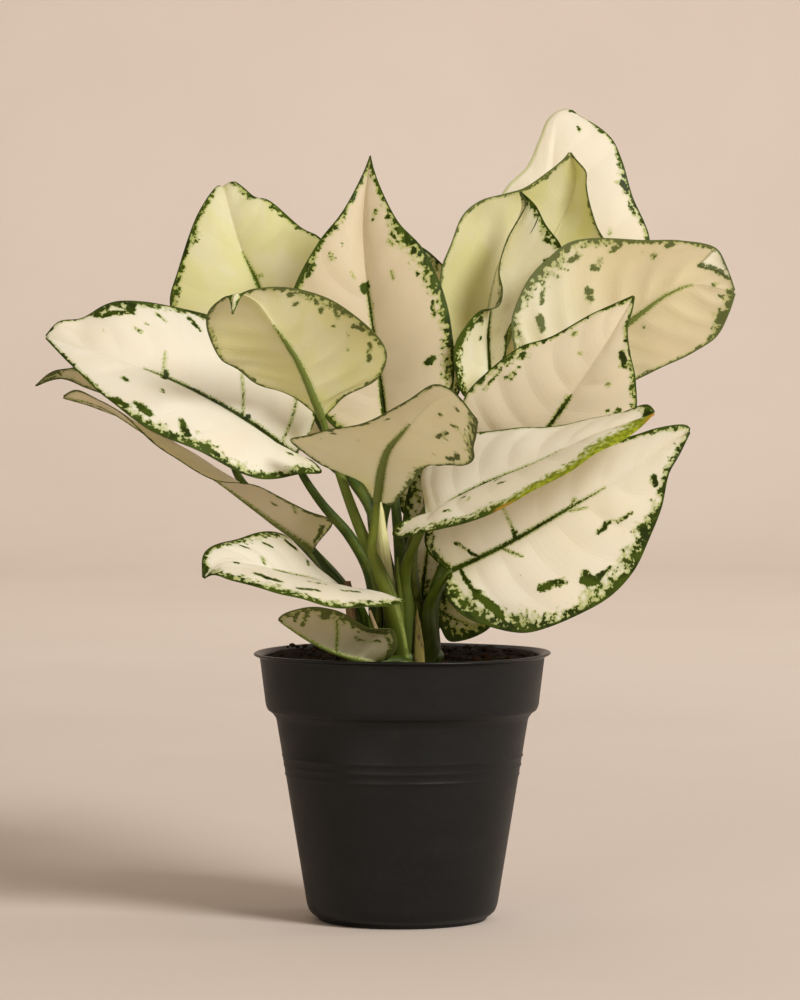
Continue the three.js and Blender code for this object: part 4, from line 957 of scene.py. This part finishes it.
def blade_marks(look, sheet, place):
    """How far each point lies inside the rib, inside a mark and inside the turned-up corner, in mm."""
    rib = profile(look["rib"], sheet.rows) - sheet.from_rib
    rib = np.where(sheet.rows > look["rib"][-1][0], NOWHERE - sheet.from_rib, rib)
    mark = np.full(sheet.out.shape, NOWHERE)
    for share, side, *end, mark_width in look["marks"]:
        start = spot(sheet, share, side)
        way = spot(sheet, *end) - start if end else np.zeros(2)
        along = np.clip(((place - start) @ way) / max(way @ way, 1e-6), 0, 1)
        away = np.linalg.norm(place - start - along[..., None] * way, axis=-1)
        if end and mark_width < THIN_MARK:
            rib = np.maximum(rib, mark_width / 2 - away)
        else:
            mark = np.maximum(mark, mark_width / 2 - away)
    fold = np.full(sheet.out.shape, NOWHERE)
    if look["fold"]:
        corners = [spot(sheet, *corner) for corner in look["fold"]]
        sides = []
        for start, end in zip(corners, corners[1:] + corners[:1]):
            inward = unit(np.array([start[1] - end[1], end[0] - start[0]]))
            sides.append((place - start) @ inward)
        fold = np.maximum(np.min(sides, axis=0), np.min(-np.array(sides), axis=0))
    return rib, mark, fold


def blade_values(look, sheet, vein, seed):
    """What the leaf's skin reads at each point of one face."""
    ones = np.ones(sheet.out.shape)
    across = sheet.columns * sheet.width
    rib, mark, fold = blade_marks(look, sheet, np.stack([sheet.rows * sheet.length * ones, across], -1))
    left, right, gold = (profile(look[key], sheet.rows) for key in ("left", "right", "gold"))
    return {
        "edge": sheet.edge, "band": np.where(sheet.on_left, left, right), "rib": rib, "mark": mark,
        "fold": fold, "vein": vein, "gold": np.where(sheet.on_left, 0, gold),
        # Painted shade on the cream: how far it turns grey
        "flecks": ones * look["flecks"], "grey_shade": ones * look["grey_shade"],
        # Painted shade on the cream: how far it darkens to peach, along the blade
        "peach_shade": ones * profile(look["peach_shade"], sheet.rows),
        "tint": look["tint"] + BASE_TINT * (1 - ease(sheet.rows, 0, 0.24)) * ones,
        "leaf": np.stack([sheet.vein_start * sheet.length, across, ones * LEAF_STEP * seed], -1),
    }


def slab_faces(rows, columns):
    """Faces of a closed slab whose upper grid of points is stored before its lower one."""
    count = rows * columns
    top = grid_faces(rows, columns)
    under = [tuple(reversed(face)) for face in grid_faces(rows, columns, first=count)]
    rim = list(range(columns))
    rim += [i * columns + columns - 1 for i in range(1, rows)]
    rim += [(rows - 1) * columns + j for j in range(columns - 2, -1, -1)]
    rim += [i * columns for i in range(rows - 2, 0, -1)]
    return top + under + [(b, a, a + count, b + count) for a, b in zip(rim, rim[1:] + rim[:1])]


def make_blade(name, material, seed):
    look = {**PLAIN_LOOK, **LOOKS[name]}
    sheet = blade_sheet(BLADES[name])
    vein = sheet.vein_start * VEINS + np.where(sheet.on_left, 0.35, 0) + 0.1 * seed
    height = blade_relief(look, sheet, vein, seed)
    middle = sheet.points + sheet_normals(sheet.points) * height[..., None]
    normals = sheet_normals(middle, 1)
    keel = profile(KEEL, sheet.rows)
    ridge = np.sqrt(np.maximum(keel ** 2 - sheet.from_rib ** 2, 0)) * 0.8
    thin = SHEET * (1 - 0.6 * ease(sheet.out, 0.9, 1))
    upper = middle + normals * thin[..., None]
    lower = middle - normals * (thin + ridge)[..., None]

    attributes = {}
    for key, values in blade_values(look, sheet, vein, seed).items():
        values = values.reshape(sheet.out.size, -1).squeeze()
        attributes[key] = np.concatenate([values, values])
    attributes["under"] = np.repeat([0, 1], sheet.out.size)
    points = np.concatenate([upper.reshape(-1, 3), lower.reshape(-1, 3)])
    piece = make_piece(f"leaf_{name}", points, slab_faces(*sheet.out.shape), material, attributes)
    take_over(piece, [f"blade_{name}"])


# Stalks and the small upright pieces

def tube(way, radii, outward, seed, steps=40, sides=20, sheath=0, seam=0, flat=1):
    """A stalk's surface along a way. sheath is how far its lower part spreads to the sides, seam the step
    where a rolled leaf's edge lies, and flat its depth over its width."""
    shares = np.linspace(0, 1, steps)
    middle, ahead, length = smooth_line(way, shares)
    normal = np.array(outward, float)
    normals = []
    for direction in ahead:
        normal = unit(normal - direction * np.dot(direction, normal))
        normals.append(normal)
    normals = np.array(normals)
    sideways = np.cross(ahead, normals)
    radius = profile(radii, shares)[:, None]
    angle = np.linspace(0, 2 * math.pi, sides, endpoint=False)[None, :]
    spread = sheath * (1 - ease(shares, 0.15, 0.62))[:, None]
    step = 1 - seam * ((angle / (2 * math.pi) + 0.6 * shares[:, None]) % 1)
    x = radius * np.cos(angle) * (1 + spread) * step
    y = radius * np.sin(angle) * (1 - 0.25 * spread) * step * flat
    y = y - spread * radius * 0.35 * (np.cos(angle) ** 2 - 0.4)
    points = middle[:, None] + sideways[:, None] * x[..., None] + normals[:, None] * y[..., None]
    points = np.concatenate([points.reshape(-1, 3), middle[:1], middle[-1:]])
    around = angle * radius
    along = shares[:, None] * length + 0 * angle
    stored = np.stack([along, around, 0 * along + TUBE_STEP * seed], -1).reshape(-1, 3)
    # low is how near the foot a point is; the stalk skin paints shade there
    low = (1 - ease(along, 4, 40)).ravel()
    pale = (ease(np.abs(np.cos(angle)), 0.8, 1) * np.minimum(spread * 3, 1)).ravel()
    attributes = {"way": np.concatenate([stored, stored[[0, -1]]]), "low": np.append(low, (1, 0)),
                  "pale": np.append(pale, (0, 0))}
    return points, capped_faces(steps, sides), attributes


def joined(parts):
    """Several tubes or lumps as one set of points, faces and values."""
    points, faces, attributes, first = [], [], {}, 0
    for part_points, part_faces, part_attributes in parts:
        points.append(part_points)
        faces += [tuple(first + v for v in face) for face in part_faces]
        for key, values in part_attributes.items():
            attributes.setdefault(key, []).append(values)
        first += len(part_points)
    return np.concatenate(points), faces, {key: np.concatenate(v) for key, v in attributes.items()}


def make_shoot(name, material):
    (x, y), radius = SHOOTS[name]["cane"]
    scars = [(share, radius * (0.95 + 0.07 * (i % 2))) for i, share in enumerate(np.linspace(0, 0.92, 12))]
    cane = tube([(x, y, CANE_BOTTOM), (x, y, CANE_TOP)], [*scars, (1, radius * 0.55)], FRONT, 1, 24, 28)
    parts, tones = [cane], [0]
    for i, (blade, way) in enumerate(SHOOTS[name]["stalks"].items()):
        rib = BLADES[blade]["rib"]
        base = smooth_line(rib, [0, 0.012])[0]
        outward = (rib[0][0] - x + 0.01, rib[0][1] - y, 0)
        parts.append(tube([*way, *base], STALK_RADII, outward, 3 + i + len(name), sheath=0.3))
        tones.append(STALK_TONES.get(blade, 0))
    if name == "centre":
        tones.append(SPIKE_TONE)
        parts.append(tube(SPIKE, SPIKE_RADII, FRONT, 9, seam=0.25))
    points, faces, attributes = joined(parts)
    attributes["tone"] = np.concatenate([np.full(len(part[0]), tone) for part, tone in zip(parts, tones)])
    take_over(make_piece(f"stalks_{name}", points, faces, material, attributes), [f"shoot_{name}"])


def make_young_leaf(material):
    points, faces, attributes = tube(YOUNG_LEAF, YOUNG_RADII, FRONT, 5, 60, 36, seam=0.28)
    take_over(make_piece("young_rolled_leaf", points, faces, material, attributes), ["young_leaf"])


def make_dry_pieces():
    for seed, (name, dry) in enumerate(DRY_PIECES.items(), 2):
        material = dry_material(dry["skin"], linear(*dry["pale"]), linear(*dry["dark"]))
        way, radii, flat, seam = (dry[key] for key in ("way", "radii", "flat", "seam"))
        points, faces, attributes = tube(way, radii, FRONT, seed, flat=flat, seam=seam)
        take_over(make_piece(name, points, faces, material, attributes), [dry["node"]])


# Pot and soil

def softened(points, reach, bends=5):
    """An outline whose corners are rounded by up to reach, with a few points in each bend."""
    points = [np.array(p, float) for p in points]
    out = [points[0]]
    for before, corner, after in zip(points, points[1:], points[2:]):
        start = corner + unit(before - corner) * min(reach, 0.45 * np.linalg.norm(before - corner))
        end = corner + unit(after - corner) * min(reach, 0.45 * np.linalg.norm(after - corner))
        for u in np.linspace(0, 1, bends):
            out.append((1 - u) ** 2 * start + 2 * u * (1 - u) * corner + u * u * end)
    return [*out, points[-1]]


def revolve(outline, sides, shift):
    """A closed surface from an outline of radius and height that starts and ends on the axis, with each
    point moved as shift says."""
    angle = np.linspace(0, 2 * math.pi, sides, endpoint=False)[None, :]
    ring = np.array(outline[1:-1])
    radius, height = shift(ring[:, :1] + 0 * angle, ring[:, 1:] + 0 * angle, angle)
    points = np.stack([radius * np.cos(angle), radius * np.sin(angle), height], -1).reshape(-1, 3)
    points = np.concatenate([points, [(0, 0, outline[0][1]), (0, 0, outline[-1][1])]])
    return points, capped_faces(len(ring), sides)


def drill(piece):
    """Cuts the drainage holes through the pot's floor."""
    cutters = bmesh.new()
    for i in range(DRAIN_HOLES):
        angle = 2 * math.pi * i / DRAIN_HOLES
        at = Vector((DRAIN_CIRCLE * math.cos(angle), DRAIN_CIRCLE * math.sin(angle), 2)) * MM
        bmesh.ops.create_cone(cutters, cap_ends=True, segments=28, radius1=DRAIN_RADIUS * MM,
                              radius2=DRAIN_RADIUS * MM, depth=12 * MM, matrix=Matrix.Translation(at))
    mesh = bpy.data.meshes.new("drain_cutters")
    cutters.to_mesh(mesh)
    cutters.free()
    cutter = bpy.data.objects.new("drain_cutters", mesh)
    bpy.context.scene.collection.objects.link(cutter)
    cut = piece.modifiers.new("drain", "BOOLEAN")
    cut.object = cutter
    cut.operation = "DIFFERENCE"
    cut.solver = "EXACT"
    bpy.context.view_layer.update()
    result = piece.evaluated_get(bpy.context.evaluated_depsgraph_get())
    piece.data = bpy.data.meshes.new_from_object(result)
    piece.modifiers.clear()
    bpy.data.objects.remove(cutter)


def make_pot():
    (bottom_radius, bottom), (top_radius, top) = POT_OUTSIDE[-1], POT_COLLAR[0]
    slope = (top_radius - bottom_radius) / (top - bottom)
    rings = []
    for middle in POT_RINGS:
        for height in (middle + offset for offset in RING_OFFSETS):
            rings.append((bottom_radius + slope * (height - bottom), height))
    smooth = softened([*POT_OUTSIDE, *rings[:1]], 1.2)
    upper = softened([*rings[-1:], *POT_COLLAR, *POT_LIP, *POT_INSIDE], 0.9)
    outline = [*smooth[:-1], *rings, *upper[1:]]

    def shift(radius, height, angle):
        """Fine rings that fade in and out round the pot, and a lip that isn't quite round or level."""
        outside = radius > bottom_radius + slope * (height - bottom) - 0.5
        for i, middle in enumerate(POT_RINGS):
            near = np.exp(-((height - middle) / 0.55) ** 2) * outside
            radius = radius + 0.42 * near * (0.7 + 0.3 * np.sin(3 * angle + i))
        high = ease(height, 84, 107)
        radius = radius + high * 0.22 * np.sin(2 * angle + 0.6) + high * 0.1 * np.sin(5 * angle)
        height = height + ease(height, 100, 107) * 0.22 * np.sin(3 * angle + 1.2)
        return radius, height

    piece = make_piece("nursery_pot", *revolve(outline, POT_SIDES, shift), pot_material())
    drill(piece)
    take_over(piece, ["pot"])


def soil_height(x, y):
    heap = 3.4 * ease(y, -12, 28)
    return SOIL_LEVEL + heap + 0.5 * np.sin(x / 5 + 1) * np.cos(y / 6) + 0.3 * np.sin(x / 3 - y / 4)


def make_soil():
    angle = np.linspace(0, 2 * math.pi, SOIL_SIDES, endpoint=False)[None, :]
    side = [radius for radius, _ in SOIL_SIDE]
    radius = np.concatenate([side, np.linspace(side[-1], 0.8, SOIL_RINGS)])[:, None]
    x, y = radius * np.cos(angle), radius * np.sin(angle)
    rough = 0.55 * waves(x / 2.2, y / 2.2, SEED) + 0.35 * waves(x / 0.9, y / 0.9, SEED + 1)
    z = soil_height(x, y) + rough
    for i, (_, height) in enumerate(SOIL_SIDE):
        z[i] = height
    points = np.stack([x, y, z], -1).reshape(-1, 3)
    points = np.concatenate([points, [(0, 0, SOIL_SIDE[0][1]), (0, 0, soil_height(0, 0))]])
    parts = [(points, capped_faces(len(radius), SOIL_SIDES), {"bark": np.zeros(len(points))})]
    parts += [soil_crumb(CRUMB_SEED + i) for i in range(CRUMBS)]
    parts += [soil_crumb(HEAP_SEED + i, crumb) for i, crumb in enumerate(HEAPED_CRUMBS)]
    points, faces, attributes = joined(parts)
    piece = make_piece("potting_soil", points, faces, soil_material(), attributes)
    take_over(piece, ["soil"])


def soil_crumb(seed, placed=None):
    """A small angular lump of bark or peat on the soil, anywhere or placed by x, y and size."""
    draw = np.random.default_rng(seed)
    lump = bmesh.new()
    bmesh.ops.create_icosphere(lump, subdivisions=1, radius=1)
    shape = np.array([v.co for v in lump.verts])
    faces = [tuple(v.index for v in face.verts) for face in lump.faces]
    lump.free()
    large = draw.random() < LARGE_CRUMBS
    size = draw.uniform(*(LARGE_CRUMB if large else SMALL_CRUMB))
    size = placed[2] if placed else size
    shape = shape * draw.uniform(0.75, 1.25, shape.shape) * size * (1, draw.uniform(0.35, 0.8), 0.45)
    turn = draw.uniform(0, 2 * math.pi)
    tip = draw.uniform(-0.5, 0.5)
    shape = shape @ np.array(Matrix.Rotation(tip, 3, "X") @ Matrix.Rotation(turn, 3, "Z"))
    angle = draw.uniform(0, 2 * math.pi)
    radius = CRUMB_REACH * math.sqrt(draw.uniform(0.02, 1)) - 0.6 * size
    x, y = placed[:2] if placed else (radius * math.cos(angle), radius * math.sin(angle))
    place = (x, y, soil_height(x, y) + (0.9 if placed else 0.25) * size)
    bark = draw.uniform(0.3, 1) if large or placed else draw.uniform(0, 0.6)
    return shape + place, faces, {"bark": np.full(len(shape), bark)}


# Stage, lights and camera

def make_stage():
    """A pale floor that runs far in front and behind, and sweeps up into a far backdrop. In metres."""
    near, wall, high, half_width, bend, steps = -4, 3.6, 3.2, 8, 0.9, 12
    line = [(near, 0), (-1, 0), (0, 0), (1, 0), (wall - bend, 0)]
    for i in range(1, steps + 1):
        angle = math.pi / 2 * i / steps
        line.append((wall - bend + bend * math.sin(angle), bend - bend * math.cos(angle)))
    line.append((wall, high))
    points = [(x / MM, y / MM, z / MM) for y, z in line for x in (-half_width, half_width)]
    make_piece("floor_and_backdrop", points, grid_faces(len(line), 2), stage_material())


def make_lamp(name, place, target, size, power, colour, spread=180):
    light = bpy.data.lights.new(name, "AREA")
    light.shape = "DISK"
    light.size = size
    light.energy = power
    light.color = colour
    light.spread = math.radians(spread)
    lamp = bpy.data.objects.new(name, light)
    lamp.location = place
    lamp.rotation_euler = (Vector(target) - Vector(place)).to_track_quat("-Z", "Y").to_euler()
    lamp.visible_camera = False
    bpy.context.scene.collection.objects.link(lamp)


def make_lights():
    for name, settings in LAMPS.items():
        make_lamp(name, *settings)
    world = bpy.data.worlds.new("studio")
    world.use_nodes = True
    background = world.node_tree.nodes["Background"]
    background.inputs["Color"].default_value = (*WORLD_COLOUR, 1)
    background.inputs["Strength"].default_value = WORLD_STRENGTH
    bpy.context.scene.world = world
    bpy.context.scene.view_settings.view_transform = "Standard"


def make_camera():
    camera = bpy.data.cameras.new("photo_camera")
    camera.sensor_fit = "VERTICAL"
    camera.sensor_height = FILM
    camera.lens = CAMERA_DISTANCE / PIXEL * FILM / IMAGE_HEIGHT
    camera.clip_end = 20
    eye = bpy.data.objects.new("photo_camera", camera)
    eye.location = (0, -CAMERA_DISTANCE * MM, CAMERA_HEIGHT * MM)
    tilt = math.atan(TILT_DROP * PIXEL / CAMERA_DISTANCE)
    yaw = math.atan(YAW_PIXELS * PIXEL / CAMERA_DISTANCE)
    eye.rotation_euler = (math.pi / 2 - tilt, 0, yaw)
    bpy.context.scene.collection.objects.link(eye)
    bpy.context.scene.camera = eye


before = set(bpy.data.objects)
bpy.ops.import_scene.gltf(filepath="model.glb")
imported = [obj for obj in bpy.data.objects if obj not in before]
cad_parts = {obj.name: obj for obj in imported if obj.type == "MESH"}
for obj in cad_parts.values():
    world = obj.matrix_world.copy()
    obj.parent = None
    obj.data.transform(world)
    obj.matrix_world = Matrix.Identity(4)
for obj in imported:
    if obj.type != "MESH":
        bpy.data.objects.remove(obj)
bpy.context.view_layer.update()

skin = blade_material()
for number, blade_name in enumerate(BLADES):
    make_blade(blade_name, skin, number + 1)
green = stalk_material()
for shoot_name in SHOOTS:
    make_shoot(shoot_name, green)
make_young_leaf(young_material())
make_dry_pieces()
make_pot()
make_soil()
make_stage()
make_lights()
make_camera()
